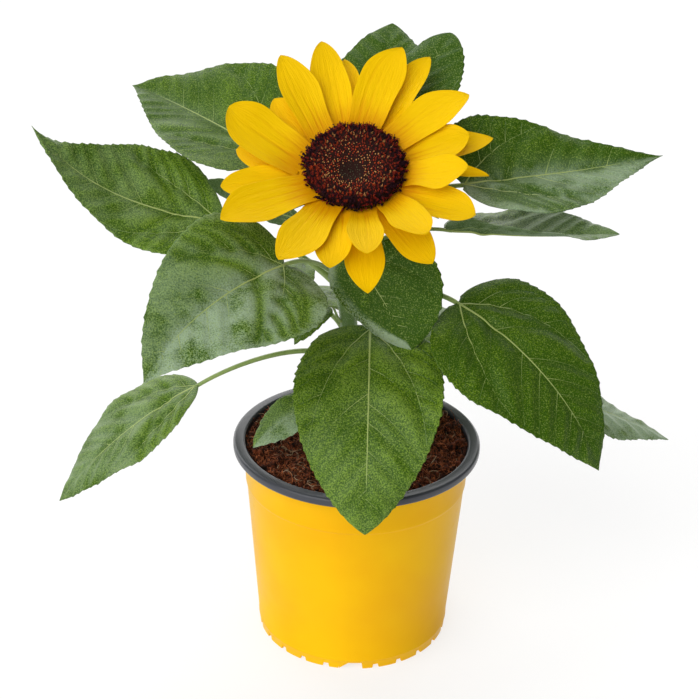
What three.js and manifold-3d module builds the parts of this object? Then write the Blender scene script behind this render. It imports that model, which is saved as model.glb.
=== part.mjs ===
// A potted sunflower: one open bloom on a short stem with eighteen leaves, in a round nursery pot.
// Millimetres, +Z up. The origin is the centre of the pot's flat underside, and the bloom faces -Y.
import * as THREE from 'three';
import { mergeVertices } from 'three/addons/utils/BufferGeometryUtils.js';
import Module from 'manifold-3d';

const wasm = await Module();
wasm.setup();

// Gap between pieces that touch, and the distance at which two corners are one
const CLEAR = 0.3;
const WELD = 1e-4;

// Pot: a thin moulded wall with a rolled lip, a raised floor round a level pad, and a notched skirt
const POT_HEIGHT = 112;
const LIP_RADIUS = 65;
const LIP_HEIGHT = 4.8;
const LIP_ROUND = 1.5;
const WALL_TOP_RADIUS = 59.4;
const WALL_FOOT_RADIUS = 51;
const WALL = 1.2;
const COLLAR_HEIGHT = 19;
const COLLAR_STEP = 0.4;
const FLOOR_LIFT = 4;
const PAD_RADIUS = 21;
const PAD_SLOPE = 1.5;
const POT_SIDES = 40;
const NOTCHES = 24;
const NOTCHES_PER_WIDE_ONE = 6;
const WIDE_NOTCH = { width: 12.5, height: 3.6 };
const SMALL_NOTCH = { width: 3.6, height: 2.2 };
const NOTCH_DEPTH = 8;
const DRAIN_HOLES = 8;
const DRAIN_HOLE_RADIUS = 3.5;
const DRAIN_HOLE_SIDES = 10;
const DRAIN_RING_RADIUS = 36;

// Soil: fills the pot to a little under the lip, with a level seat for the stem
const SOIL_TOP = 109.5;
const SOIL_LUMP = 1.3;
const SOIL_SEAT_RADIUS = 9;
const SOIL_LEVEL_EDGE = 4;
const SOIL_RINGS = 6;

// Stem: its centre at heights above the floor, with the radius at each
const STEM_MARKS = [
  { height: SOIL_TOP + CLEAR, x: 0, y: 0, radius: 5.6 },
  { height: 117, x: 0, y: 0, radius: 4.7 },
  { height: 136, x: -1.5, y: 0, radius: 4.3 },
  { height: 172, x: -5, y: 1, radius: 4.0 },
  { height: 208, x: -9, y: 4, radius: 3.7 },
  { height: 232, x: -7.5, y: 6, radius: 3.5 },
];
const NECK_LENGTH = 9;
const NECK_RADIUS = 3.5;
const NECK_END_RADIUS = 4.2;
const STEM_SIDES = 10;
const STEM_STEPS = 26;

// Bloom: its centre in the plant's frame, and how far its axis leans to the front
const BLOOM = { x: -4.3, y: -12, z: 267.6, lean: 34 };
const BLOOM_SIDES = 30;
const DISC_RADIUS = 25.2;
const DISC_DOME = 6;
const CUP_RADIUS = 25;
const CUP_DEPTH = 18;
const CUP_NECK_RADIUS = 5.4;
const BRACT = { width: 8.5, droop: 15, seat: 19, depth: 9.2, thickness: 0.9 };
const BRACT_STEPS = 4;
const BRACT_COUNT = 14;
const BRACT_LENGTHS = [25, 22, 19];
const LONG_BRACTS = [{ turn: 226, length: 34 }, { turn: 338, length: 27 }];

// Ray petals. turn: place round the bloom from its right-hand side. swing: how far the petal points
// to the left of straight outward. lift: off the bloom's plane. A swung petal's seat moves out by a
// share of what its inner corner would gain on the cup.
const RAY_SEAT = 25.5;
const RAY_SEAT_SHIFT = 0.75;
const RAY_BASE_SHARE = 0.4;
const RAY_WIDENING = 1.2;
const RAY_CLOSING_START = 0.5;
const RAY_CLOSING_POWER = 2.4;
const RAY_TIP_POWER = 0.6;
const RAY_CUPPING = 0.12;
const RAY_THICKNESS = 0.7;
const RAY_STEPS = 5;
const RAY_TIERS = [
  {
    depth: 1.4,
    petals: [
      { turn: 130, swing: -14, length: 46, width: 19, lift: 12 },
      { turn: 171, swing: -20, length: 42, width: 27, lift: 15 },
      { turn: 210, swing: -1, length: 48, width: 22, lift: 12 },
      { turn: 239, swing: 7, length: 44.5, width: 21, lift: 15 },
      { turn: 280, swing: -6, length: 40, width: 17, lift: 28 },
      { turn: 312, swing: -9, length: 33.5, width: 19, lift: 23 },
      { turn: 353, swing: -3, length: 30.5, width: 19, lift: 22 },
      { turn: 42, swing: -4, length: 42.5, width: 20, lift: 12 },
      { turn: 81, swing: -8, length: 46, width: 22, lift: 11 },
    ],
  },
  {
    depth: 2.8,
    petals: [
      { turn: 108, swing: -6, length: 51, width: 19, lift: 6 },
      { turn: 199, swing: -12, length: 39, width: 20, lift: 4 },
      { turn: 252, swing: 15, length: 37, width: 18, lift: 13 },
      { turn: 329, swing: 15, length: 37, width: 21, lift: 6 },
      { turn: 21, swing: -4, length: 33, width: 21, lift: 10 },
      { turn: 64, swing: 1, length: 51, width: 16, lift: 4 },
    ],
  },
  {
    depth: 4.2,
    petals: [
      { turn: 98, swing: -4, length: 44.5, width: 16, lift: -2 },
      { turn: 142, swing: -15, length: 33, width: 18, lift: 0 },
      { turn: 173, swing: -7, length: 33, width: 20, lift: 0 },
      { turn: 277, swing: -1, length: 44, width: 19, lift: 1 },
      { turn: 304, swing: 5, length: 37, width: 19, lift: -3 },
      { turn: 10, swing: -13, length: 40, width: 7, lift: -6 },
      { turn: 25, swing: -8, length: 46, width: 15, lift: -4 },
      { turn: 40, swing: -8, length: 36, width: 8, lift: 5 },
      { turn: 55, swing: -3, length: 30, width: 7, lift: 0 },
    ],
  },
];

// Leaves. node: height at which the stalk leaves the stem. at: bearing, reach and height of the
// blade's base. heading, turn: the blade's bearing and how far it swings. rise, droop: its pitch at
// base and tip. roll, twist: how far its left side is raised, and what that gains by the tip. fold
// raises both sides. lobe, full, point, shear and skew shape the outline. Bearing 0 is +X.
const LEAVES = [
  { name: 'leaf_01_small_low', node: 120, at: [210, 22, 140], length: 44, width: 26, heading: 213,
    rise: -10, droop: -40, roll: -10, fold: 5, lobe: 2 },
  { name: 'leaf_02_low_right', node: 140, at: [14, 80, 138], length: 112, width: 50, heading: 16.5,
    rise: -23, droop: -30, roll: 8, fold: 1, lobe: 4, point: 1 },
  { name: 'leaf_03_low_left', node: 158, at: [195.5, 84, 152.5], length: 94, width: 55, heading: 196,
    rise: -28, droop: -52, roll: -6, fold: 4, lobe: 0, full: 0.65, point: 1, shear: 0.05, skew: -0.08 },
  { name: 'leaf_04_low_back_right', node: 148, at: [54, 44, 158], length: 90, width: 60, heading: 54,
    rise: -4, droop: -46, roll: 8, fold: 6, lobe: 6 },
  { name: 'leaf_05_back', node: 166, at: [95, 44, 168], length: 98, width: 66, heading: 95,
    rise: -6, droop: -52, roll: 0, fold: 6, lobe: 6 },
  { name: 'leaf_06_back_left', node: 174, at: [140, 46, 180], length: 88, width: 60, heading: 138,
    rise: -4, droop: -50, roll: -10, fold: 6, lobe: 6 },
  { name: 'leaf_07_young', node: 180, at: [200, 17, 190], length: 26, width: 18, heading: 206,
    rise: -30, droop: -60, roll: 0, fold: 5, lobe: 2 },
  { name: 'leaf_08_front', node: 188, at: [-72, 17, 184], length: 110, width: 73, heading: 270,
    rise: -20, droop: -80, roll: 0, fold: 4, lobe: 6, point: 0.85, shear: -0.05 },
  { name: 'leaf_09_front_right', node: 192, at: [-14, 50, 197], length: 112, width: 79, heading: 324.5,
    turn: 8, rise: -17, droop: -66, roll: 17, fold: 6, lobe: 5, point: 1.04, skew: -0.06 },
  { name: 'leaf_10_left', node: 200, at: [172.5, 70, 228], length: 111, width: 65, heading: 175.5, turn: -4,
    rise: 4.5, droop: 58, ease: 1.6, roll: -29, fold: 10, lobe: 2, full: 0.65, point: 1.53, shear: -0.24,
    skew: -0.14 },
  { name: 'leaf_11_front_left', node: 205, at: [223, 50, 225], length: 97, width: 80.5, heading: 225,
    turn: 2, rise: -4, droop: -48, ease: 1.6, roll: -28, fold: 16, lobe: 10, point: 1.19, skew: 0.04 },
  { name: 'leaf_12_right', node: 215, at: [1, 42, 231], length: 86, width: 56, heading: -1.5, turn: 2.5,
    rise: -7, droop: 7, ease: 1, roll: -24, twist: 30, fold: 21, arch: 0.05, lobe: 4, point: 0.91 },
  { name: 'leaf_13_under_bloom', node: 216, at: [-98.3, 19, 222.3], length: 53, width: 50,
    heading: 337, rise: -50, droop: -58.5, roll: 69.5, fold: 4, lobe: 8, point: 0.8, shear: 0.2,
    skew: 0.26 },
  { name: 'leaf_14_small_left', node: 222, at: [172, 30, 232], length: 52, width: 44, heading: 168,
    rise: 14, droop: 24, roll: 40, fold: 4, lobe: 2, point: 0.6 },
  { name: 'leaf_15_upper_left', node: 228, at: [144.5, 62, 256], length: 99.5, width: 83, heading: 140,
    rise: 11, droop: 4, roll: -20.5, fold: 22, lobe: 10, point: 1.22, shear: -0.04, skew: -0.1 },
  { name: 'leaf_16_upper_right', node: 234, at: [15.5, 51, 250], length: 107.5, width: 71.5, heading: 14,
    turn: 2, rise: 1.5, droop: 10, ease: 2, roll: 28, fold: 23, lobe: 6, point: 1.38, shear: -0.28,
    skew: 0.04 },
  { name: 'leaf_17_top_back', node: 241, at: [84, 22, 252], length: 95.5, width: 58.5, heading: 82,
    rise: 40, droop: 30, roll: -2, fold: 6, lobe: 3, point: 0.79, skew: 0.04 },
  { name: 'leaf_18_top_right', node: 244, at: [62.5, 20, 256], length: 83, width: 45, heading: 60,
    turn: -6, rise: 45, droop: 38, roll: 3, fold: 6, lobe: 3, point: 0.6 },
];
const LEAF_DEFAULTS = {
  turn: 0, twist: 0, ease: 1.2, arch: 0.1, full: 0.5, point: 0.9, shear: 0, skew: 0,
};
const LEAF_STATIONS = 8;
const LEAF_STATION_EASE = 1.5;
const LEAF_COLUMNS = [-1, -0.5, 0, 0.5, 1];
const LEAF_PATH_PARTS = 6;
const LEAF_BASE_SHARE = 0.002;
const LEAF_THICKNESS_RATIO = 0.012;
const STALK = { radiusRatio: 0.017, leastRadius: 0.8, swell: 1.15, shrink: 0.85, sides: 5, steps: 5 };
const STALK_LEAVE = { out: 0.75, up: 0.66 };
const STALK_PULL = 0.3;
const STALK_SEAT_SHARE = 0.72;
const RIB_REACH = 0.6;

const FINISHES = {
  pot: { color: 0xf4b400, roughness: 0.35, metalness: 0 },
  soil: { color: 0x2e1d14, roughness: 0.95, metalness: 0 },
  stem: { color: 0x7f9a55, roughness: 0.6, metalness: 0 },
  leaf: { color: 0x3f6b2a, roughness: 0.6, metalness: 0 },
  disc: { color: 0x3a150c, roughness: 0.85, metalness: 0 },
  cup: { color: 0x55783a, roughness: 0.65, metalness: 0 },
  ray: { color: 0xf2c100, roughness: 0.55, metalness: 0 },
};

const radians = THREE.MathUtils.degToRad;
const blend = THREE.MathUtils.lerp;

// The unit vector along a bearing and a pitch
function direction(bearing, pitch) {
  const flat = Math.cos(radians(pitch));
  return new THREE.Vector3(
    Math.cos(radians(bearing)) * flat,
    Math.sin(radians(bearing)) * flat,
    Math.sin(radians(pitch)),
  );
}

// A point from its bearing and reach round the Z axis, and its height
function around(bearing, reach, height) {
  return direction(bearing, 0).multiplyScalar(reach).setZ(height);
}

// Forward, left and upward unit vectors of a leaf or petal, rolled about the forward one
function frameOf(bearing, pitch, roll) {
  const forward = direction(bearing, pitch);
  const level = direction(bearing + 90, 0);
  const above = forward.clone().cross(level);
  const cos = Math.cos(radians(roll));
  const sin = Math.sin(radians(roll));
  const left = level.clone().multiplyScalar(cos).addScaledVector(above, sin);
  const up = above.clone().multiplyScalar(cos).addScaledVector(level, -sin);
  return { forward, left, up };
}

// A geometry from a list of points and a list of triangles
function meshOf(points, triangles) {
  const geometry = new THREE.BufferGeometry().setFromPoints(points);
  geometry.setIndex(triangles.flat());
  return geometry;
}

// A geometry as a solid, with its seams welded and the empty triangles at its poles left out
function solidOf(geometry) {
  const bare = geometry.clone();
  bare.deleteAttribute('normal');
  bare.deleteAttribute('uv');
  const merged = mergeVertices(bare, WELD);
  const index = merged.getIndex().array;
  const triVerts = [];
  for (let i = 0; i < index.length; i += 3) {
    const corners = [index[i], index[i + 1], index[i + 2]];
    if (new Set(corners).size === 3) triVerts.push(...corners);
  }
  return new wasm.Manifold(new wasm.Mesh({
    numProp: 3,
    vertProperties: Float32Array.from(merged.getAttribute('position').array),
    triVerts: Uint32Array.from(triVerts),
  }));
}

// A solid as a geometry
function geometryOf(solid) {
  const mesh = solid.getMesh();
  const positions = new THREE.BufferAttribute(Float32Array.from(mesh.vertProperties), 3);
  const geometry = new THREE.BufferGeometry().setAttribute('position', positions);
  geometry.setIndex(new THREE.BufferAttribute(Uint32Array.from(mesh.triVerts), 1));
  return geometry;
}

// A turned body about Z. The profile's [radius, height] points run from axis to axis, outside first.
function turned(profile, sides) {
  const points = profile.map(([radius, height]) => new THREE.Vector2(radius, height));
  return new THREE.LatheGeometry(points, sides).rotateX(Math.PI / 2);
}

// The two triangles between neighbouring rows, or one where the row ahead is a single point
function cell(near, ahead, j) {
  if (ahead.length === 1) return [[near[j], ahead[0], near[j + 1]]];
  return [[near[j], ahead[j], ahead[j + 1]], [near[j], ahead[j + 1], near[j + 1]]];
}

// A closed sheet of even thickness. Each row is { points, up }, with its points from right to left,
// the rows run forward, and the last row may be a single point.
function sheet(rows, thickness) {
  const points = [];
  const offset = (row, distance) => row.points.map(
    (point) => points.push(point.clone().addScaledVector(row.up, distance)) - 1,
  );
  const top = rows.map((row) => offset(row, thickness / 2));
  const bottom = rows.map((row) => offset(row, -thickness / 2));
  const last = rows.length - 1;
  const columns = top[0].length - 1;
  const triangles = [];
  for (let i = 0; i < last; i += 1) {
    for (let j = 0; j < columns; j += 1) {
      triangles.push(...cell(top[i], top[i + 1], j));
      triangles.push(...cell(bottom[i], bottom[i + 1], j).map((corners) => corners.reverse()));
    }
  }
  const rim = [];
  for (let i = 0; i < last; i += 1) rim.push([i, 0]);
  for (let j = 0; j < top[last].length; j += 1) rim.push([last, j]);
  for (let i = last - 1; i >= 0; i -= 1) rim.push([i, columns]);
  for (let j = columns - 1; j > 0; j -= 1) rim.push([0, j]);
  rim.forEach(([i, j], place) => {
    const [nextRow, nextColumn] = rim[(place + 1) % rim.length];
    const low = bottom[i][j];
    const high = top[nextRow][nextColumn];
    triangles.push([low, bottom[nextRow][nextColumn], high], [low, high, top[i][j]]);
  });
  return meshOf(points, triangles);
}

// A round limb that tapers along a list of { point, radius }, with flat ends
function limb(stations, sides) {
  const points = [];
  const last = stations.length - 1;
  const upright = Math.abs(stations[1].point.z - stations[0].point.z)
    > 0.8 * stations[1].point.distanceTo(stations[0].point);
  let reference = upright ? new THREE.Vector3(1, 0, 0) : new THREE.Vector3(0, 0, 1);
  stations.forEach(({ point, radius }, i) => {
    const before = stations[Math.max(i - 1, 0)].point;
    const after = stations[Math.min(i + 1, last)].point;
    const along = after.clone().sub(before).normalize();
    const side = reference.clone().cross(along).normalize();
    reference = along.clone().cross(side);
    for (let k = 0; k < sides; k += 1) {
      const angle = (2 * Math.PI * k) / sides;
      points.push(point.clone()
        .addScaledVector(side, radius * Math.cos(angle))
        .addScaledVector(reference, radius * Math.sin(angle)));
    }
  });
  const triangles = [];
  const start = points.push(stations[0].point.clone()) - 1;
  const finish = points.push(stations[last].point.clone()) - 1;
  for (let k = 0; k < sides; k += 1) {
    const next = (k + 1) % sides;
    for (let ring = 0; ring < last * sides; ring += sides) {
      const [a, b] = [ring + k, ring + next];
      triangles.push([a, b, b + sides], [a, b + sides, a + sides]);
    }
    triangles.push([start, next, k], [finish, last * sides + k, last * sides + next]);
  }
  return meshOf(points, triangles);
}

const plant = new THREE.Group();

// Adds a named piece to a group
function addPiece(group, name, geometry, finish) {
  const piece = new THREE.Mesh(geometry, new THREE.MeshStandardMaterial(FINISHES[finish]));
  piece.name = name;
  group.add(piece);
}

const LIP_FOOT = POT_HEIGHT - LIP_HEIGHT;
const COLLAR_FOOT = LIP_FOOT - COLLAR_HEIGHT;
const FLOOR_TOP = FLOOR_LIFT + WALL;

// Outer radius of the pot's plain wall at a height, without its collar
function wallRadius(height) {
  return blend(WALL_FOOT_RADIUS, WALL_TOP_RADIUS, height / LIP_FOOT);
}

// Inner radius of the pot at a height
function innerRadius(height) {
  return wallRadius(height) - WALL;
}

// The pot's turned body, from the middle of its underside round to the middle of its floor
function potBody() {
  return turned([
    [0, 0],
    [PAD_RADIUS, 0],
    [PAD_RADIUS + PAD_SLOPE, FLOOR_LIFT],
    [innerRadius(FLOOR_LIFT), FLOOR_LIFT],
    [innerRadius(0), 0],
    [WALL_FOOT_RADIUS, 0],
    [wallRadius(COLLAR_FOOT), COLLAR_FOOT],
    [wallRadius(COLLAR_FOOT) + COLLAR_STEP, COLLAR_FOOT + 2 * COLLAR_STEP],
    [WALL_TOP_RADIUS + COLLAR_STEP, LIP_FOOT],
    [LIP_RADIUS - LIP_ROUND, LIP_FOOT],
    [LIP_RADIUS, LIP_FOOT + LIP_ROUND],
    [LIP_RADIUS, POT_HEIGHT - LIP_ROUND],
    [LIP_RADIUS - LIP_ROUND, POT_HEIGHT],
    [innerRadius(POT_HEIGHT) + LIP_ROUND, POT_HEIGHT],
    [innerRadius(POT_HEIGHT - LIP_ROUND), POT_HEIGHT - LIP_ROUND],
    [innerRadius(FLOOR_TOP), FLOOR_TOP],
    [PAD_RADIUS + PAD_SLOPE - WALL, FLOOR_TOP],
    [PAD_RADIUS - WALL, WALL],
    [0, WALL],
  ], POT_SIDES);
}

// A box that cuts one notch out of the skirt's foot
function notchTool(bearing, { width, height }) {
  const tool = new THREE.BoxGeometry(NOTCH_DEPTH, width, 2 * height);
  return solidOf(tool.translate(WALL_FOOT_RADIUS, 0, 0).rotateZ(radians(bearing)));
}

// A cylinder that cuts one drain hole through the raised floor
function drainTool(bearing) {
  const tool = new THREE.CylinderGeometry(DRAIN_HOLE_RADIUS, DRAIN_HOLE_RADIUS, 4 * WALL, DRAIN_HOLE_SIDES);
  tool.rotateX(Math.PI / 2).translate(DRAIN_RING_RADIUS, 0, FLOOR_LIFT + WALL / 2);
  return solidOf(tool.rotateZ(radians(bearing)));
}

// The pot, with a wide notch at the front, sides and back and small ones between them
function makePot() {
  let pot = solidOf(potBody());
  for (let i = 0; i < NOTCHES; i += 1) {
    const size = i % NOTCHES_PER_WIDE_ONE === 0 ? WIDE_NOTCH : SMALL_NOTCH;
    pot = pot.subtract(notchTool(-90 + (360 * i) / NOTCHES, size));
  }
  for (let i = 0; i < DRAIN_HOLES; i += 1) {
    pot = pot.subtract(drainTool((360 * (i + 0.5)) / DRAIN_HOLES));
  }
  addPiece(plant, 'pot', geometryOf(pot), 'pot');
}

// Height of the soil's lumps at a place
function soilLump(x, y) {
  const broad = Math.sin(x * 0.31 + 1.3) * Math.cos(y * 0.27);
  const fine = 0.6 * Math.sin(x * 0.17 - y * 0.45);
  return SOIL_LUMP * (broad + fine);
}

// The soil: the pot's inside less the clearance, with a lumpy top between its seat and its edge
function makeSoil() {
  const soilRadius = (height) => innerRadius(height) - CLEAR;
  const floor = FLOOR_TOP + CLEAR;
  const lumpyEdge = soilRadius(SOIL_TOP) - SOIL_LEVEL_EDGE;
  const profile = [
    [0, WALL + CLEAR],
    [PAD_RADIUS - WALL - CLEAR, WALL + CLEAR],
    [PAD_RADIUS + PAD_SLOPE - WALL - CLEAR, floor],
    [soilRadius(floor), floor],
    [soilRadius(SOIL_TOP), SOIL_TOP],
  ];
  for (let i = SOIL_RINGS; i >= 0; i -= 1) {
    profile.push([blend(SOIL_SEAT_RADIUS, lumpyEdge, i / SOIL_RINGS), SOIL_TOP]);
  }
  profile.push([0, SOIL_TOP]);
  const body = turned(profile, POT_SIDES);
  const position = body.getAttribute('position');
  for (let i = 0; i < position.count; i += 1) {
    const [x, y, z] = [position.getX(i), position.getY(i), position.getZ(i)];
    const reach = Math.hypot(x, y);
    const lumpy = reach > SOIL_SEAT_RADIUS + 1 && reach < lumpyEdge + 1;
    if (z > SOIL_TOP - CLEAR && lumpy) position.setZ(i, z + soilLump(x, y));
  }
  addPiece(plant, 'soil', geometryOf(solidOf(body)), 'soil');
}

// The bloom's group: its +Z is the axis through the disc
const bloom = new THREE.Group();
bloom.position.set(BLOOM.x, BLOOM.y, BLOOM.z);
bloom.rotation.x = radians(BLOOM.lean);
plant.add(bloom);

// The stem's stations from its flat cut at the soil to the back of the bloom's cup
function stemStations() {
  const axis = new THREE.Vector3(0, 0, 1).applyEuler(bloom.rotation);
  const end = bloom.position.clone().addScaledVector(axis, -CUP_DEPTH - CLEAR);
  const neck = end.clone().addScaledVector(axis, -NECK_LENGTH);
  const marks = STEM_MARKS.map(({ x, y, height, radius }) => ({
    point: new THREE.Vector3(x, y, height), radius,
  }));
  marks.push({ point: neck, radius: NECK_RADIUS }, { point: end, radius: NECK_END_RADIUS });
  const curve = new THREE.CatmullRomCurve3(marks.map((mark) => mark.point));
  const stations = [];
  for (let i = 0; i <= STEM_STEPS; i += 1) {
    const place = (i / STEM_STEPS) * (marks.length - 1);
    const below = Math.min(Math.floor(place), marks.length - 2);
    const radius = blend(marks[below].radius, marks[below + 1].radius, place - below);
    stations.push({ point: curve.getPoint(i / STEM_STEPS), radius });
  }
  return stations;
}

const STEM = stemStations();

// The stem's centre and radius at a height
function stemAt(height) {
  const above = STEM.findIndex((station) => station.point.z >= height);
  const [low, high] = [STEM[above - 1], STEM[above]];
  const share = (height - low.point.z) / (high.point.z - low.point.z);
  return {
    point: low.point.clone().lerp(high.point, share),
    radius: blend(low.radius, high.radius, share),
  };
}

// The stem is one limb, with a level foot on the soil
function makeStem() {
  const geometry = limb(STEM, STEM_SIDES);
  const position = geometry.getAttribute('position');
  const foot = [...Array(STEM_SIDES).keys(), position.count - 2];
  for (const corner of foot) position.setZ(corner, SOIL_TOP + CLEAR);
  addPiece(plant, 'stem', geometryOf(solidOf(geometry)), 'stem');
}

// Half the blade's width at a share of its length: rounded at the base, pointed at the tip
function bladeHalfWidth({ full, point, width }, share) {
  const x = blend(LEAF_BASE_SHARE, 1, share);
  const widest = full / (full + point);
  const swell = (at) => at ** full * (1 - at) ** point;
  return ((width / 2) * swell(x)) / swell(widest);
}

// The points across a blade at one share of its length
function bladePoints(leaf, share, centre, { forward, left, up }) {
  const half = bladeHalfWidth(leaf, share);
  const lobe = leaf.lobe * (1 - share) ** 1.5 * Math.sqrt((2 * half) / leaf.width);
  const fold = radians(leaf.fold);
  return LEAF_COLUMNS.map((k) => {
    const reach = half * (1 + leaf.skew * Math.sign(k));
    const height = Math.abs(k) * Math.sin(fold) - leaf.arch * k * k;
    return centre.clone()
      .addScaledVector(forward, leaf.shear * half * k - lobe * k * k)
      .addScaledVector(left, reach * k * Math.cos(fold))
      .addScaledVector(up, reach * height);
  });
}

// Rows across the blade from its base to its tip, along its bending midrib
function bladeRows(leaf) {
  const rows = [];
  const bearing = (share) => leaf.heading + leaf.turn * share;
  const pitch = (share) => blend(leaf.rise, leaf.droop, share ** leaf.ease);
  const station = (i) => (i / LEAF_STATIONS) ** LEAF_STATION_EASE;
  const centre = around(...leaf.at);
  for (let i = 0; i <= LEAF_STATIONS; i += 1) {
    const share = station(i);
    const frame = frameOf(bearing(share), pitch(share), leaf.roll + leaf.twist * share);
    const points = i < LEAF_STATIONS ? bladePoints(leaf, share, centre, frame) : [centre.clone()];
    rows.push({ points, centre: centre.clone(), up: frame.up, forward: frame.forward });
    const next = station(i + 1);
    for (let n = 0; n < LEAF_PATH_PARTS; n += 1) {
      const middle = blend(share, next, (n + 0.5) / LEAF_PATH_PARTS);
      const step = (leaf.length * (next - share)) / LEAF_PATH_PARTS;
      centre.addScaledVector(direction(bearing(middle), pitch(middle)), step);
    }
  }
  return rows;
}

// The leaf's stalk: out and up from the stem, over to the blade's base, then under the midrib
function stalkStations(leaf, rows, thickness) {
  const radius = Math.max(leaf.length * STALK.radiusRatio, STALK.leastRadius);
  const stem = stemAt(leaf.node);
  const base = rows[0].centre;
  const outward = base.clone().sub(stem.point).setZ(0).normalize();
  const leave = outward.clone().multiplyScalar(STALK_LEAVE.out).setZ(STALK_LEAVE.up);
  const seat = stem.radius + CLEAR + radius * STALK_SEAT_SHARE;
  const start = stem.point.clone().addScaledVector(outward, seat);
  const pull = start.distanceTo(base) * STALK_PULL;
  const under = (row) => row.centre.clone().addScaledVector(row.up, -thickness / 3);
  const curve = new THREE.CubicBezierCurve3(
    start,
    start.clone().addScaledVector(leave, pull),
    base.clone().addScaledVector(rows[0].forward, -pull),
    under(rows[0]),
  );
  const stations = [];
  for (let i = 0; i <= STALK.steps; i += 1) {
    const share = i / STALK.steps;
    stations.push({ point: curve.getPoint(share), radius: radius * blend(STALK.swell, STALK.shrink, share) });
  }
  const reach = Math.round(RIB_REACH * LEAF_STATIONS);
  for (let i = 1; i <= reach; i += 1) {
    const size = blend(radius * STALK.shrink, thickness / 2, i / reach);
    stations.push({ point: under(rows[i]), radius: size });
  }
  return stations;
}

// One leaf: blade, stalk and midrib in one body
function makeLeaf(spec) {
  const leaf = { ...LEAF_DEFAULTS, ...spec };
  const rows = bladeRows(leaf);
  const thickness = leaf.length * LEAF_THICKNESS_RATIO;
  const blade = solidOf(sheet(rows, thickness));
  const stalk = solidOf(limb(stalkStations(leaf, rows, thickness), STALK.sides));
  addPiece(plant, leaf.name, geometryOf(blade.add(stalk)), 'leaf');
}

// The disc: a low dome with a shallow dip at its middle
function makeDisc() {
  const profile = [
    [0, -0.2],
    [DISC_RADIUS - 1.2, -0.2],
    [DISC_RADIUS, 1.1],
    [DISC_RADIUS - 0.2, 2.6],
    [DISC_RADIUS * 0.92, DISC_DOME * 0.75],
    [DISC_RADIUS * 0.72, DISC_DOME * 0.98],
    [DISC_RADIUS * 0.45, DISC_DOME],
    [DISC_RADIUS * 0.22, DISC_DOME * 0.85],
    [0, DISC_DOME * 0.75],
  ];
  addPiece(bloom, 'bloom_disc', geometryOf(solidOf(turned(profile, BLOOM_SIDES))), 'disc');
}

// One pointed bract, from its seat under the cup
function bract(turn, length) {
  const { forward, left, up } = frameOf(turn, -BRACT.droop, 0);
  const rows = [];
  for (let i = 0; i <= BRACT_STEPS; i += 1) {
    const share = i / BRACT_STEPS;
    const half = (BRACT.width / 2) * (1 - share) ** 0.7;
    const centre = around(turn, BRACT.seat, -BRACT.depth).addScaledVector(forward, length * share);
    const points = [-1, 0, 1].map((k) => centre.clone().addScaledVector(left, half * k));
    rows.push({ points: i < BRACT_STEPS ? points : [centre], up });
  }
  return solidOf(sheet(rows, BRACT.thickness));
}

// The green cup behind the disc, with its bracts
function makeCup() {
  const profile = [
    [0, -CUP_DEPTH],
    [CUP_NECK_RADIUS, -CUP_DEPTH],
    [CUP_NECK_RADIUS + 2, -CUP_DEPTH + 1.5],
    [CUP_RADIUS * 0.68, -CUP_DEPTH * 0.62],
    [CUP_RADIUS * 0.92, -CUP_DEPTH * 0.42],
    [CUP_RADIUS, -CUP_DEPTH * 0.33],
    [CUP_RADIUS, -0.5],
    [0, -0.5],
  ];
  let cup = solidOf(turned(profile, BLOOM_SIDES));
  for (const { turn, length } of LONG_BRACTS) cup = cup.add(bract(turn, length));
  for (let i = 0; i < BRACT_COUNT; i += 1) {
    cup = cup.add(bract((360 * i) / BRACT_COUNT, BRACT_LENGTHS[i % BRACT_LENGTHS.length]));
  }
  addPiece(bloom, 'bloom_cup', geometryOf(cup), 'cup');
}

// Half a ray petal's width at a share of its length: narrow at its seat, blunt at its tip
function rayHalfWidth(width, share) {
  const opening = Math.min(1, RAY_BASE_SHARE + RAY_WIDENING * share);
  const past = Math.max(0, share - RAY_CLOSING_START) / (1 - RAY_CLOSING_START);
  return (width / 2) * opening * (1 - past ** RAY_CLOSING_POWER) ** RAY_TIP_POWER;
}

// One ray petal at a depth behind the disc's rim
function rayPetal({ turn, swing, length, width, lift }, depth) {
  const { forward, left, up } = frameOf(turn + swing, lift, 0);
  const gain = rayHalfWidth(width, 0) * Math.sin(radians(Math.abs(swing)));
  const seat = RAY_SEAT + RAY_SEAT_SHIFT * gain;
  const rows = [];
  for (let i = 0; i <= RAY_STEPS; i += 1) {
    const share = Math.sin((Math.PI / 2) * (i / RAY_STEPS));
    const half = rayHalfWidth(width, share);
    const centre = around(turn, seat, -depth).addScaledVector(forward, length * share);
    const points = [-1, 0, 1].map((k) => centre.clone()
      .addScaledVector(left, half * k)
      .addScaledVector(up, half * RAY_CUPPING * k * k));
    rows.push({ points: i < RAY_STEPS ? points : [centre], up });
  }
  return solidOf(sheet(rows, RAY_THICKNESS));
}

// All the ray petals, numbered tier by tier from the front
function makeRays() {
  let number = 0;
  for (const { depth, petals } of RAY_TIERS) {
    for (const petal of petals) {
      number += 1;
      const name = `ray_${String(number).padStart(2, '0')}`;
      addPiece(bloom, name, geometryOf(rayPetal(petal, depth)), 'ray');
    }
  }
}

makePot();
makeSoil();
makeStem();
LEAVES.forEach(makeLeaf);
makeDisc();
makeCup();
makeRays();

export default plant;
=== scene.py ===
"""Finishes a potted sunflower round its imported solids.

The shapes follow the same rules and sizes as the solids, carried to finer ones. Sizes are in
millimetres and angles in degrees. Blender's metres come in when a mesh is made.
"""
import sys

import logging
import math
from collections.abc import Callable, Sequence
from dataclasses import dataclass
from enum import Enum

import bpy
import numpy as np
from mathutils import Matrix, Vector, noise


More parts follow.
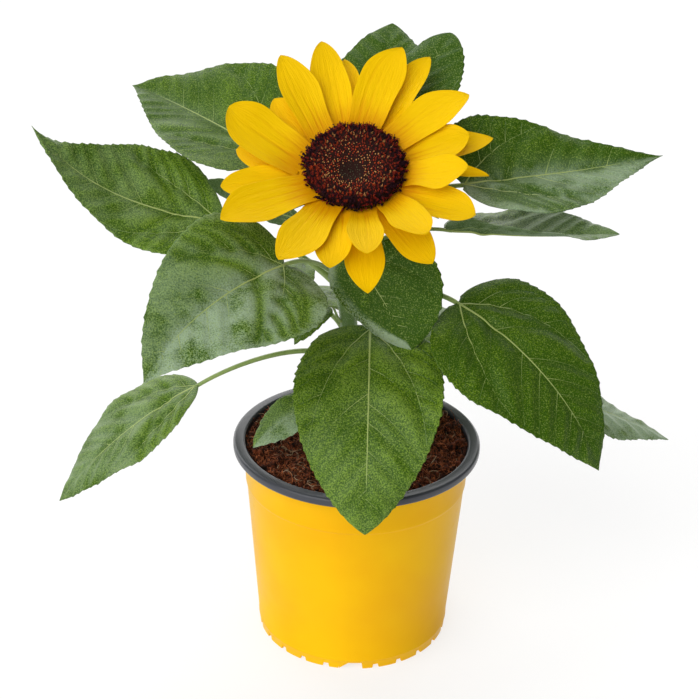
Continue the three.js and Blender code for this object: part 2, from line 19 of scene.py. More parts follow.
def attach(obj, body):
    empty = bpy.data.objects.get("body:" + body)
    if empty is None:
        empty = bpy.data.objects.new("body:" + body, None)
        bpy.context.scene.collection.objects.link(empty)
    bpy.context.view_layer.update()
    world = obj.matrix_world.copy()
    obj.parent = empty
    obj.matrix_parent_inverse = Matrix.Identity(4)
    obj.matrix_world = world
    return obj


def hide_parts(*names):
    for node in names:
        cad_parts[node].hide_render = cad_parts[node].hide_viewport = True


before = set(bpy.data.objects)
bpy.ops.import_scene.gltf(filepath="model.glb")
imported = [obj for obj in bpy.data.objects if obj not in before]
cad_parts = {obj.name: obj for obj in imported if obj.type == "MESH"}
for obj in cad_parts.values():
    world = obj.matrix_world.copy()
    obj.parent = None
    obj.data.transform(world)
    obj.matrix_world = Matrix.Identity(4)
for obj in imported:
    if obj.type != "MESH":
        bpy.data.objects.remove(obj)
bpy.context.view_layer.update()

log = logging.getLogger("sunflower")

MM = 0.001
BODY = "root"
GOLDEN_ANGLE = math.radians(137.508)
UPRIGHT = 0.8
ANY_WAY = (3.1, 3.1, 3.1)

Array = np.ndarray
Pair = tuple[float, float]
Triple = tuple[float, float, float]
Colour = Triple
Faces = list[tuple[int, ...]]
UP = np.array([0.0, 0.0, 1.0])


def blend(start: float, end: float, share: float | Array) -> float | Array:
    """The value at a share of the way from start to end."""
    return start + (end - start) * share


def smooth(low: float, high: float, value: float | Array) -> float | Array:
    """Rises from 0 at low to 1 at high without a corner."""
    share = np.clip((value - low) / (high - low), 0.0, 1.0)
    return share * share * (3.0 - 2.0 * share)


def direction(bearing: float | Array, pitch: float | Array) -> Array:
    """Unit vectors along bearings and pitches.

    Args:
        bearing: degrees from +X towards +Y.
        pitch: degrees above the level.

    Returns:
        One vector, or one in each row.
    """
    bearing, pitch = np.broadcast_arrays(np.radians(bearing), np.radians(pitch))
    flat = np.cos(pitch)
    return np.stack([np.cos(bearing) * flat, np.sin(bearing) * flat, np.sin(pitch)], -1)


def around(bearing: float, reach: float, height: float) -> Array:
    """The point at a bearing and reach from the Z axis, and a height."""
    return direction(bearing, 0.0) * reach + UP * height


def frames(bearing: float | Array, pitch: float | Array,
           roll: float | Array = 0.0) -> tuple[Array, Array, Array]:
    """Forward, left and upward unit vectors, rolled about the forward ones.

    Args:
        bearing: degrees from +X towards +Y.
        pitch: degrees above the level.
        roll: degrees by which the left side is raised.

    Returns:
        The three sets of vectors.
    """
    forward = direction(bearing, pitch)
    level = direction(np.asarray(bearing) + 90.0, 0.0)
    above = np.cross(forward, level)
    cos = np.cos(np.radians(roll))[..., None]
    sin = np.sin(np.radians(roll))[..., None]
    return forward, level * cos + above * sin, above * cos - level * sin


def set_down(name: str, data: bpy.types.ID) -> bpy.types.Object:
    """Makes an object of some data and puts it in the scene, at the origin."""
    made = bpy.data.objects.new(name, data)
    bpy.context.scene.collection.objects.link(made)
    return made


def plain_mesh(piece: bpy.types.Object) -> bpy.types.Mesh:
    """The mesh that a piece's modifiers make of it."""
    bpy.context.view_layer.update()
    return bpy.data.meshes.new_from_object(piece.evaluated_get(bpy.context.evaluated_depsgraph_get()))


class Shape:
    """Points in millimetres and the faces between them, built up part by part."""

    def __init__(self) -> None:
        """Starts with nothing."""
        self.points: list[Array] = []
        self.faces: Faces = []
        self.finishes: list[int] = []
        self.coordinates: list[Array] = []
        self.values: dict[str, list[Array]] = {}
        self.count = 0

    def add(self, points: Array, faces: Sequence[Sequence[int]], finish: int = 0,
            coordinates: Array | None = None, **values: float | Array) -> int:
        """Adds one part.

        Args:
            points: the part's points, one in each row.
            faces: corners of each face, counted from the part's first point.
            finish: number of the faces' finish.
            coordinates: a pair of surface coordinates for each point.
            **values: named numbers, one for all the points or one for each.

        Returns:
            The number of the part's first point.
        """
        first = self.count
        size = len(points)
        self.points.append(np.asarray(points, float))
        self.coordinates.append(np.zeros((size, 2)) if coordinates is None else coordinates)
        for name in sorted({*values, *self.values}):
            column = self.values.setdefault(name, [np.zeros(first)] if first else [])
            column.append(np.broadcast_to(values.get(name, 0.0), size))
        self.faces += [tuple(first + corner for corner in face) for face in faces]
        self.finishes += [finish] * len(faces)
        self.count += size
        return first

    def mesh(self, name: str, finishes: Sequence["Finish"], sharp: float = 180.0) -> bpy.types.Object:
        """Makes a Blender object of the parts.

        Args:
            name: the object's name.
            finishes: the finishes that the faces' numbers stand for.
            sharp: edges that bend by more than this many degrees stay sharp.

        Returns:
            The object, at the origin.
        """
        data = bpy.data.meshes.new(name)
        data.from_pydata((np.concatenate(self.points) * MM).tolist(), [], self.faces)
        for finish in finishes:
            data.materials.append(finish.material())
        data.polygons.foreach_set("material_index", self.finishes)
        data.polygons.foreach_set("use_smooth", np.ones(len(self.faces), bool))
        corners = np.zeros(len(data.loops), np.int32)
        data.loops.foreach_get("vertex_index", corners)
        layer = data.uv_layers.new(name="surface")
        layer.data.foreach_set("uv", np.concatenate(self.coordinates)[corners].astype(np.float32).ravel())
        for value, columns in self.values.items():
            attribute = data.attributes.new(value, "FLOAT", "POINT")
            attribute.data.foreach_set("value", np.concatenate(columns).astype(np.float32))
        data.update()
        if sharp < 180.0:
            data.set_sharp_from_angle(angle=math.radians(sharp))
        return set_down(name, data)


def grid_faces(rows: int, columns: int, closed: bool = False) -> Faces:
    """Quads of a grid of points, facing forward x left.

    Args:
        rows: number of rows, which run forward.
        columns: points in each row, from right to left.
        closed: whether each row closes on itself.

    Returns:
        The corners of each quad.
    """
    spans = columns if closed else columns - 1
    row, column = np.meshgrid(np.arange(rows - 1), np.arange(spans), indexing="ij")
    near = row * columns
    beside = (column + 1) % columns
    corners = np.stack([near + column, near + columns + column, near + columns + beside, near + beside], -1)
    return [tuple(face) for face in corners.reshape(-1, 4).tolist()]


def ring_faces(rings: int, sides: int, caps: bool = True) -> Faces:
    """Faces of a body made of rings, pointing outwards.

    Args:
        rings: number of rings, from the lowest up.
        sides: points in each ring.
        caps: whether flat faces close its ends.

    Returns:
        The corners of each face.
    """
    faces = [face[::-1] for face in grid_faces(rings, sides, closed=True)]
    if caps:
        faces += [tuple(range(sides))[::-1], tuple(range((rings - 1) * sides, rings * sides))]
    return faces


def even_angles(count: int) -> Array:
    """Angles spread evenly round a circle, in radians."""
    return np.linspace(0.0, 2.0 * math.pi, count, endpoint=False)


def ring_points(reaches: Sequence[float], height: float, turn: float = 0.0) -> Array:
    """Points round the Z axis at a height, one for each reach, from a turn in radians on."""
    angles = even_angles(len(reaches)) + turn
    return np.stack([reaches * np.cos(angles), reaches * np.sin(angles), np.full(len(reaches), height)], -1)


def add_sheet(shape: Shape, top: Array, bottom: Array, coordinates: Array, finishes: tuple[int, int],
              **values: Array) -> None:
    """Adds a closed sheet between two grids of points.

    Args:
        shape: the shape that grows.
        top: points of the upper side, by row and column.
        bottom: points of the lower side.
        coordinates: surface coordinates, by row and column.
        finishes: numbers of the upper and the lower side's finish.
        **values: named numbers, by row and column.
    """
    rows, columns = top.shape[:2]
    size = rows * columns
    flat = {name: value.reshape(-1) for name, value in values.items()}
    pairs = coordinates.reshape(-1, 2)
    first = shape.add(top.reshape(-1, 3), grid_faces(rows, columns), finishes[0], pairs, **flat)
    under = [face[::-1] for face in grid_faces(rows, columns)]
    shape.add(bottom.reshape(-1, 3), under, finishes[1], pairs, **flat)
    right = [row * columns for row in range(rows)]
    front = [(rows - 1) * columns + column for column in range(1, columns)]
    left = [row * columns + columns - 1 for row in range(rows - 2, -1, -1)]
    back = list(range(columns - 2, 0, -1))
    rim = right + front + left + back
    for here, there in zip(rim, rim[1:] + rim[:1]):
        shape.faces.append(tuple(first + corner for corner in (here + size, there + size, there, here)))
        shape.finishes.append(finishes[1])


def add_thin_sheet(shape: Shape, middle: Array, up: Array, thickness: Array,
                   places: tuple[Array, Array], **values: Array) -> None:
    """Adds a closed sheet of one finish about its middle surface.

    Args:
        shape: the shape that grows.
        middle: points of the middle surface, by row and column.
        up: the unit vector across its thickness.
        thickness: its thickness, by row and column.
        places: shares along it, and across it from -1 to 1, by row and column.
        **values: named numbers, by row and column.
    """
    share, across = places
    half = up * thickness[..., None] / 2.0
    add_sheet(shape, middle + half, middle - half, np.stack([share, across * 0.5 + 0.5], -1), (0, 0),
              **values)


def along(points: Array) -> Array:
    """Unit tangents of a line of points."""
    step = np.gradient(points, axis=0)
    return step / np.linalg.norm(step, axis=1, keepdims=True)


def add_tube(shape: Shape, centres: Array, radii: Array, sides: int, finish: int = 0,
             ribs: tuple[int, float] = (0, 0.0), **values: float | Array) -> None:
    """Adds a round limb with closed ends.

    Args:
        shape: the shape that grows.
        centres: points of the centre line.
        radii: the radius at each of them.
        sides: number of sides.
        finish: number of the finish.
        ribs: number of lengthwise ribs and their height as a share of the radius.
        **values: named numbers, one for the limb or one for each centre.
    """
    tangents = along(centres)
    reference = UP if abs(tangents[0][2]) < UPRIGHT else np.array([1.0, 0.0, 0.0])
    angles = even_angles(sides)
    swell = 1.0 + ribs[1] * np.cos(ribs[0] * angles)
    rings = []
    for centre, tangent, radius in zip(centres, tangents, radii):
        side = np.cross(reference, tangent)
        side /= np.linalg.norm(side)
        reference = np.cross(tangent, side)
        spokes = np.outer(np.cos(angles) * swell, side) + np.outer(np.sin(angles) * swell, reference)
        rings.append(centre + radius * spokes)
    rows = len(centres)
    spread = {name: np.repeat(np.broadcast_to(value, rows), sides) for name, value in values.items()}
    share = np.repeat(np.linspace(0.0, 1.0, rows), sides)
    turn = np.tile(np.arange(sides) / sides, rows)
    shape.add(np.concatenate(rings), ring_faces(rows, sides), finish, np.stack([share, turn], -1),
              **spread)


def add_turned(shape: Shape, profile: Sequence[Pair], angles: Array,
               finishes: Sequence[int] | int = 0,
               move: Callable[[Array], Array] | None = None, **values: float) -> None:
    """Adds a body turned about Z, whose profile runs from axis to axis with the outside first.

    Args:
        shape: the shape that grows.
        profile: radius and height of each point.
        angles: the angles of the columns, in radians.
        finishes: number of the finish, or one for each stretch of the profile.
        move: changes the points, given in rows of columns, before they are added.
        **values: named numbers, one for all the points.
    """
    columns = len(angles)
    rows = profile[1:-1]
    spokes = np.stack([np.cos(angles), np.sin(angles), np.zeros(columns)], -1)
    points = np.array([radius * spokes + UP * height for radius, height in rows])
    if move is not None:
        points = move(points)
    points = points.reshape(-1, 3)
    poles = np.outer([profile[0][1], profile[-1][1]], UP)
    stretches = [finishes] * (len(profile) - 1) if isinstance(finishes, int) else list(finishes)
    first = shape.add(np.concatenate([points, poles]), [], **values)
    start, end = first + len(points), first + len(points) + 1
    last = first + (len(rows) - 1) * columns
    faces = ring_faces(len(rows), columns, caps=False)
    shape.faces += [tuple(first + corner for corner in face) for face in faces]
    for number in stretches[1:-1]:
        shape.finishes += [number] * columns
    for k in range(columns):
        beside = (k + 1) % columns
        shape.faces += [(start, first + beside, first + k), (end, last + k, last + beside)]
        shape.finishes += [stretches[0], stretches[-1]]


def arithmetic(operation: str, reflected: bool = False) -> Callable:
    """A method of Value that adds a Math node, with the value second where it is reflected."""
    return lambda value, other: value.graph.math(
        operation, *((other, value) if reflected else (value, other)))


@dataclass(eq=False)
class Value:
    """An output socket in a node tree, with arithmetic that adds Math nodes."""

    graph: "Graph"
    socket: bpy.types.NodeSocket

    __add__ = __radd__ = arithmetic("ADD")
    __sub__ = arithmetic("SUBTRACT")
    __rsub__ = arithmetic("SUBTRACT", reflected=True)
    __mul__ = __rmul__ = arithmetic("MULTIPLY")
    __truediv__ = arithmetic("DIVIDE")
    __pow__ = arithmetic("POWER")

    def rise(self, low: float, high: float) -> "Value":
        """0 up to low and 1 from high on, without a corner; low may be the larger one."""
        made = self.graph.node("ShaderNodeMapRange", {"interpolation_type": "SMOOTHSTEP"},
                               {"Value": self, "From Min": low, "From Max": high})
        return Value(self.graph, made.outputs["Result"])


@dataclass(eq=False)
class Graph:
    """A shader or geometry node tree, with one way to add a node."""

    tree: bpy.types.NodeTree

    def node(self, kind: str, settings: dict | None = None, inputs: dict | None = None) -> bpy.types.Node:
        """Adds a node.

        Args:
            kind: the node's type.
            settings: the node's own settings, which are set first.
            inputs: values or links of its sockets, by name or number.

        Returns:
            The node.
        """
        made = self.tree.nodes.new(kind)
        for name, setting in (settings or {}).items():
            setattr(made, name, setting)
        for key, value in (inputs or {}).items():
            self.feed(made.inputs[key], value)
        return made

    def feed(self, socket: bpy.types.NodeSocket, value: object) -> None:
        """Links a value to a socket, or sets the socket to it."""
        if isinstance(value, Value):
            value = value.socket
        if isinstance(value, bpy.types.NodeSocket):
            self.tree.links.new(value, socket)
        elif isinstance(value, tuple) and socket.type == "RGBA":
            socket.default_value = (*value, 1.0)
        else:
            socket.default_value = value

    def math(self, operation: str, *values: Value | float) -> Value:
        """The result of one Math node."""
        made = self.node("ShaderNodeMath", {"operation": operation}, dict(enumerate(values)))
        return Value(self, made.outputs[0])

    def mix(self, share: Value | float, first: Value | Colour, second: Value | Colour) -> Value:
        """The mix of two colours, with a share of the second."""
        made = self.node("ShaderNodeMix", {"data_type": "RGBA"}, {0: share, 6: first, 7: second})
        return Value(self, made.outputs[2])

    def position(self) -> bpy.types.NodeSocket:
        """The object coordinates, in metres."""
        return self.node("ShaderNodeTexCoord").outputs["Object"]

    def surface(self) -> tuple[Value, Value]:
        """The piece's own surface coordinates: along it and across it."""
        mapped = self.node("ShaderNodeUVMap", {"uv_map": "surface"})
        split = self.node("ShaderNodeSeparateXYZ", inputs={0: mapped.outputs[0]})
        return Value(self, split.outputs[0]), Value(self, split.outputs[1])

    def attribute(self, name: str) -> Value:
        """A named number that the mesh carries."""
        made = self.node("ShaderNodeAttribute", {"attribute_name": name})
        return Value(self, made.outputs["Fac"])

    def cloud(self, size: float, detail: float = 3.0, where: Value | None = None) -> Value:
        """Soft random patches of a size in millimetres, from 0 to 1."""
        inputs = {"Vector": where or self.position(), "Scale": 1.0 / (size * MM), "Detail": detail}
        return Value(self, self.node("ShaderNodeTexNoise", inputs=inputs).outputs["Fac"])

    def cells(self, size: float) -> Value:
        """Distance to the middle of random cells of a size in millimetres."""
        inputs = {"Vector": self.position(), "Scale": 1.0 / (size * MM)}
        return Value(self, self.node("ShaderNodeTexVoronoi", inputs=inputs).outputs["Distance"])

    def bump(self, height: Value, depth: float, strength: float = 1.0) -> Value:
        """The normal of a surface with a relief of a depth in millimetres."""
        inputs = {"Height": height, "Distance": depth * MM, "Strength": strength}
        return Value(self, self.node("ShaderNodeBump", inputs=inputs).outputs[0])

    def random(self, low: object, high: object, seed: object, vector: bool = False) -> Value:
        """A random number or vector at each point of a geometry tree."""
        first = 0 if vector else 2
        settings = {"data_type": "FLOAT_VECTOR" if vector else "FLOAT"}
        made = self.node("FunctionNodeRandomValue", settings, {first: low, first + 1: high, "Seed": seed})
        return Value(self, made.outputs[0 if vector else 1])


@dataclass(frozen=True)
class Finish:
    """What every finish has: a name, its gloss and how it is painted."""

    name: str
    roughness: float = 0.6

    def material(self) -> bpy.types.Material:
        """The finish's material, made when it is first asked for."""
        made = bpy.data.materials.get(self.name)
        if made is None:
            made = bpy.data.materials.new(self.name)
            made.use_nodes = True
            shader = made.node_tree.nodes["Principled BSDF"]
            shader.inputs["Roughness"].default_value = self.roughness
            graph = Graph(made.node_tree)
            for name, value in self.paint(graph).items():
                graph.feed(shader.inputs[name.replace("_", " ")], value)
        return made

    def paint(self, graph: Graph) -> dict[str, object]:
        """The values and links of the shader's sockets, whose names have _ for each space."""
        raise NotImplementedError


@dataclass(frozen=True)
class LeafFinish(Finish):
    """A rough-hairy leaf's skin: pebbled and finely dotted, partly with painted glints, with a satin gloss on
    its pebbles and some painted sheen.
    """

    dark: Colour = (0.030, 0.080, 0.0015)
    light: Colour = (0.150, 0.255, 0.0100)
    # The pale colour of fine dots, partly hair feet and partly painted glints, and how much of them there is.
    dot: Colour = (0.270, 0.370, 0.0800)
    dots: float = 0.5
    relief: float = 0.25
    shine: float = 0.12
    # The colour of the painted sheen, a pale grey-green laid in where light would glance off the leaf.
    bloom: Colour = (0.270, 0.360, 0.230)

    def paint(self, graph: Graph) -> dict[str, object]:
        """Slowly changing green with painted shade in the vein creases, under fine grains, painted sheen and
        pale dots: hair feet and painted glints.
        """
        grains = graph.cloud(0.70, 2.0)
        specks = graph.cloud(0.60, 1.0)
        pebbles = graph.cells(1.2)
        patches = graph.cloud(16.0)
        tone = graph.attribute("tone") + (patches - 0.5) * 0.7 + (grains - 0.5) * 3.0
        green = graph.mix(tone.rise(0.0, 1.0), self.dark, self.light)
        # Painted sheen: the pale grey-green is mixed in where the mesh asks for it, broken up by patches and
        # grains.
        haze = graph.attribute("haze") * (patches.rise(0.28, 0.62) + (grains - 0.5) * 2.0)
        green = graph.mix(haze, green, self.bloom)
        # Pale dots: partly the feet of its hairs, partly painted glints.
        green = graph.mix(specks.rise(0.53, 0.70) * self.dots, green, self.dot)
        return dict(Base_Color=green, Specular_IOR_Level=self.shine,
                    Normal=graph.bump(grains * 0.9 - pebbles * 0.5, self.relief),
                    Roughness=self.roughness + (grains - 0.5) * 0.3)


@dataclass(frozen=True)
class VeinFinish(Finish):
    """Pale veins and stalks, greener where they are thin, with a fine grain."""

    pale: Colour = (0.340, 0.420, 0.110)
    green: Colour = (0.060, 0.140, 0.020)
    greener: float = 0.0

    def paint(self, graph: Graph) -> dict[str, object]:
        """Pale where the mesh says so, green elsewhere, with patches and a grain."""
        grain = graph.cloud(1.1)
        share = graph.attribute("pale") + (graph.cloud(9.0) - 0.5) * 0.5 - self.greener
        colour = graph.mix((share + (grain - 0.5) * 0.5).rise(0.0, 1.0), self.green, self.pale)
        return dict(Base_Color=colour, Normal=graph.bump(grain, 0.15),
                    Sheen_Weight=0.2, Sheen_Roughness=0.5)


@dataclass(frozen=True)
class PetalFinish(Finish):
    """A ray petal: golden, with fine streaks; more orange at its root, partly its own colour and partly
    painted shade, and in its grooves as painted shade.
    """

    gold: Colour = (0.860, 0.530, 0.0005)
    # The deeper orange of the root and, as painted shade, of the grooves.
    deep: Colour = (0.640, 0.230, 0.0005)
    stretch: Pair = (0.006, 0.030)

    def paint(self, graph: Graph) -> dict[str, object]:
        """Streaks that run along the petal, deeper at the root, partly as painted shade, and in the grooves
        as painted shade.
        """
        share, across = graph.surface()
        place = graph.node("ShaderNodeCombineXYZ", inputs={
            0: share * self.stretch[0], 1: across * self.stretch[1], 2: graph.attribute("tone")})
        streaks = graph.cloud(1.0, 4.0, Value(graph, place.outputs[0]))
        # Painted shade: deeper orange where the root tucks under the disc, partly its own colour, and in the
        # grooves.
        root = share.rise(0.42, -0.05)
        depth = root * 0.65 + graph.attribute("groove") * 0.38 + (streaks - 0.5) * 0.45
        colour = graph.mix((depth + (graph.cloud(12.0) - 0.5) * 0.3).rise(-0.1, 1.0), self.gold, self.deep)
        return dict(Base_Color=colour, Normal=graph.bump(streaks, 0.35),
                    Roughness=self.roughness + (streaks - 0.5) * 0.15, Specular_IOR_Level=0.05)


@dataclass(frozen=True)
class FloretFinish(Finish):
    """A disc floret: one colour at its foot and another at its tip, broken up a little."""

    foot: Colour = (0.06, 0.012, 0.008)
    tip: Colour = (0.12, 0.030, 0.012)

    def paint(self, graph: Graph) -> dict[str, object]:
        """From the foot's colour to the tip's, with a grain."""
        height = graph.attribute("height") + (graph.cloud(0.5) - 0.5) * 0.5
        colour = graph.mix(height.rise(0.42, 0.98), self.foot, self.tip)
        return dict(Base_Color=colour, Normal=graph.bump(graph.cloud(0.3), 0.08),
                    Specular_IOR_Level=0.15)


@dataclass(frozen=True)
class PeatFinish(Finish):
    """Moist peat, or the crumbs and fibres in it."""

    dark: Colour = (0.008, 0.003, 0.002)
    light: Colour = (0.090, 0.022, 0.009)
    grain: float = 1.5

    def paint(self, graph: Graph) -> dict[str, object]:
        """Dark and lighter grains with a rough relief."""
        grains = graph.cloud(self.grain, 5.0)
        colour = graph.mix(grains.rise(0.35, 0.70), self.dark, self.light)
        height = grains + graph.cells(self.grain) * 0.5
        return dict(Base_Color=colour, Normal=graph.bump(height, 0.6),
                    Roughness=self.roughness - (grains - 0.5) * 0.3, Specular_IOR_Level=0.15)


@dataclass(frozen=True)
class MouldedFinish(Finish):
    """Moulded plastic: even, with a faint flow of colour and a barely uneven gloss."""

    colour: Colour = (0.860, 0.478, 0.0010)
    deeper: Colour = (0.820, 0.410, 0.0010)
    coat: float = 0.0

    def paint(self, graph: Graph) -> dict[str, object]:
        """A slow change of colour, scuffs in the gloss and a fine skin."""
        flow = graph.cloud(45.0)
        skin = graph.cloud(0.7, 2.0)
        scuffs = graph.cloud(5.0, 6.0).rise(0.55, 0.75)
        colour = graph.mix(flow.rise(0.3, 0.8), self.colour, self.deeper)
        return dict(Base_Color=colour, Normal=graph.bump(skin, 0.02),
                    Roughness=self.roughness + scuffs * 0.10 + (skin - 0.5) * 0.06,
                    Coat_Weight=self.coat, Coat_Roughness=0.25, Specular_IOR_Level=0.08)


@dataclass(frozen=True)
class FloorFinish(Finish):
    """The pale studio floor, which glows softly from below."""

    colour: Colour = (0.30, 0.30, 0.30)
    glow: float = 0.70

    def paint(self, graph: Graph) -> dict[str, object]:
        """One pale colour and an even glow."""
        return dict(Base_Color=self.colour, Specular_IOR_Level=0.0,
                    Emission_Color=(1.0, 1.0, 1.0), Emission_Strength=self.glow)


class Greens:
    """The finishes of the green parts."""

    UPPER = LeafFinish("leaf_upper_side", 0.40)
    LOWER = LeafFinish("leaf_under_side", 0.60, (0.060, 0.110, 0.030), (0.130, 0.200, 0.070),
                       (0.260, 0.350, 0.190), 0.5, 0.35)
    VEIN = VeinFinish("leaf_vein", 0.5)
    STALK = VeinFinish("leaf_stalk", 0.5, (0.330, 0.430, 0.120), (0.130, 0.230, 0.045), 0.35)
    STEM = VeinFinish("main_stem", 0.55, (0.300, 0.400, 0.120), (0.120, 0.215, 0.045), 0.4)
    BRACT = LeafFinish("bract_skin", 0.5, (0.030, 0.085, 0.012), (0.085, 0.185, 0.030),
                       (0.200, 0.300, 0.120), 0.4, 0.3)
    HAIR = VeinFinish("plant_hair", 0.4, (0.700, 0.760, 0.560), (0.520, 0.600, 0.360))


class Peats:
    """The finishes of the soil and of what lies on it."""

    BED = PeatFinish("peat_bed", 0.9)
    CRUMB = PeatFinish("peat_crumb", 0.85, (0.008, 0.003, 0.002), (0.170, 0.038, 0.013), 2.6)
    RED = PeatFinish("coir_fibre", 0.5, (0.030, 0.008, 0.003), (0.560, 0.165, 0.060), 3.0)
    PALE = PeatFinish("straw_fibre", 0.55, (0.260, 0.150, 0.080), (0.560, 0.400, 0.260), 2.5)


class Tree:
    """A geometry node tree with named inputs, which turns a carrier mesh into another one."""

    def __init__(self, name: str, inputs: dict[str, str]) -> None:
        """Makes an empty tree.

        Args:
            name: the tree's name.
            inputs: kind of socket of each named input, after the geometry.
        """
        tree = bpy.data.node_groups.new(name, "GeometryNodeTree")
        for label, kind in {"Geometry": "Geometry", **inputs}.items():
            tree.interface.new_socket(label, in_out="INPUT", socket_type="NodeSocket" + kind)
        tree.interface.new_socket("Geometry", in_out="OUTPUT", socket_type="NodeSocketGeometry")
        self.graph = Graph(tree)
        self.inputs = self.graph.node("NodeGroupInput").outputs

    def value(self, name: str) -> Value:
        """A named input."""
        return Value(self.graph, self.inputs[name])

    def scatter(self, points: bpy.types.NodeSocket, rotation: object, scale: Value,
                selection: object = True) -> bpy.types.NodeSocket:
        """Puts the input named Item on points.

        Args:
            points: the points.
            rotation: how each copy is turned.
            scale: how large each copy is.
            selection: which points get one.

        Returns:
            The instances.
        """
        item = self.graph.node("GeometryNodeObjectInfo", inputs={"Object": self.inputs["Item"]})
        made = self.graph.node("GeometryNodeInstanceOnPoints", inputs={
            "Points": points, "Instance": item.outputs["Geometry"], "Rotation": rotation,
            "Scale": scale, "Selection": selection})
        return made.outputs["Instances"]

    def end(self, instances: bpy.types.NodeSocket) -> None:
        """Makes the instances real, gives them the input named Finish and puts them out."""
        real = self.graph.node("GeometryNodeRealizeInstances", inputs={0: instances})
        dressed = self.graph.node("GeometryNodeSetMaterial", inputs={
            "Geometry": real.outputs[0], "Material": self.inputs["Finish"]})
        self.graph.node("NodeGroupOutput", inputs={0: dressed.outputs[0]})

    def grow(self, name: str, carrier: bpy.types.Mesh, **inputs: object) -> bpy.types.Object:
        """Runs the tree on a mesh.

        Args:
            name: name of the new object.
            carrier: the mesh that the tree reads.
            **inputs: the named inputs, with _ for each space.

        Returns:
            A plain mesh object at the origin.
        """
        host = set_down(name + "_host", carrier)
        modifier = host.modifiers.new("growth", "NODES")
        modifier.node_group = self.graph.tree
        sockets = {item.name: item for item in self.graph.tree.interface.items_tree
                   if item.in_out == "INPUT"}
        for label, value in inputs.items():
            modifier[sockets[label.replace("_", " ")].identifier] = value
        data = plain_mesh(host)
        data.name = name
        host.modifiers.remove(modifier)
        bpy.data.objects.remove(host)
        return set_down(name, data)


def scatter_tree() -> Tree:
    """A tree that scatters an item over a mesh's faces, standing off them at random tilts."""
    tree = Tree("scatter", {"Item": "Object", "Finish": "Material", "Density": "Float", "Seed": "Int",
                            "Smallest": "Float", "Largest": "Float", "Tilt": "Vector", "Sink": "Float"})
    graph = tree.graph
    spread = graph.node("GeometryNodeDistributePointsOnFaces", inputs={
        "Mesh": tree.inputs["Geometry"], "Density": tree.inputs["Density"], "Seed": tree.inputs["Seed"]})
    size = graph.random(tree.value("Smallest"), tree.value("Largest"), tree.value("Seed"))
    copies = tree.scatter(spread.outputs["Points"], spread.outputs["Rotation"], size)
    opposite = graph.node("ShaderNodeVectorMath", {"operation": "SCALE"},
                          {0: tree.inputs["Tilt"], "Scale": -1.0})
    tilt = graph.random(Value(graph, opposite.outputs[0]), tree.value("Tilt"),
                        tree.value("Seed") + 1, vector=True)
    turned = graph.node("GeometryNodeRotateInstances", inputs={"Instances": copies, "Rotation": tilt})
    down = graph.node("ShaderNodeCombineXYZ", inputs={2: tree.value("Sink") * -1.0})
    sunk = graph.node("GeometryNodeTranslateInstances", inputs={
        "Instances": turned.outputs[0], "Translation": down.outputs[0]})
    tree.end(sunk.outputs[0])
    return tree


def spiral_tree() -> Tree:
    """A tree that sets an item in a sunflower's spiral on a low dome.

    Each item is a golden angle on from the last. The dome's middle dips and lies lower on the
    bloom's face than its rim. The rim falls away, and its items gather in loose clumps.
    """
    tree = Tree("spiral", {"Item": "Object", "Finish": "Material", "Count": "Int", "First": "Int",
                           "Spacing": "Float", "Radius": "Float", "Height": "Float", "Lean": "Float",
                           "Jitter": "Float", "Smallest": "Float", "Largest": "Float",
                           "From": "Float", "To": "Float", "Seed": "Int"})
    graph = tree.graph
    index = Value(graph, graph.node("GeometryNodeInputIndex").outputs[0])
    number = index + tree.value("First")
    reach = graph.math("SQRT", number) * tree.value("Spacing")
    share = reach / tree.value("Radius")
    angle = number * GOLDEN_ANGLE
    clump = share ** Disc.CLUMP_POWER * graph.math("SINE", angle * Disc.CLUMPS) * Disc.CLUMP_DEPTH
    reach = reach * (clump + 1.0)
    dip = graph.math("EXPONENT", (share / Disc.DIP_REACH) ** 2.0 * -1.0) * Disc.DIP
    height = tree.value("Height") * (1.0 - share ** Disc.RIM_POWER * Disc.RIM_FALL - dip)
    slip = (1.0 - share ** 2.0) * MM
    aside, down = Disc.SLIP
    place = graph.node("ShaderNodeCombineXYZ", inputs={
        0: reach * graph.math("COSINE", angle) - slip * aside,
        1: reach * graph.math("SINE", angle) - slip * down, 2: height})
    points = graph.node("GeometryNodePoints", inputs={
        "Count": tree.inputs["Count"], "Position": place.outputs[0]})
    seed = tree.value("Seed")
    wobble = tree.value("Jitter")
    turn = graph.node("ShaderNodeCombineXYZ", inputs={
        0: graph.random(-1.0, 1.0, seed) * wobble,
        1: share ** Disc.LEAN_POWER * tree.value("Lean") + graph.random(-1.0, 1.0, seed + 1) * wobble,
        2: angle + graph.random(-1.0, 1.0, seed + 2)})
    draw = graph.random(0.0, 1.0, seed + 3)
    chosen = graph.math("MULTIPLY", graph.math("GREATER_THAN", draw, tree.value("From")),
                        graph.math("LESS_THAN", draw, tree.value("To")))
    size = graph.random(tree.value("Smallest"), tree.value("Largest"), seed + 4)
    tree.end(tree.scatter(points.outputs[0], turn.outputs[0], size, chosen))
    return tree


def hand_over(piece: bpy.types.Object, slot: str, *nodes: str) -> bpy.types.Object:
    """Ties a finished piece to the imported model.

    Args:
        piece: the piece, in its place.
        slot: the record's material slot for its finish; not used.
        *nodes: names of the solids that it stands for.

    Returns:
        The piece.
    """
    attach(piece, BODY)
    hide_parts(*nodes)
    log.info("%s: %d faces, for %s", piece.name, len(piece.data.polygons), ", ".join(nodes))
    return piece


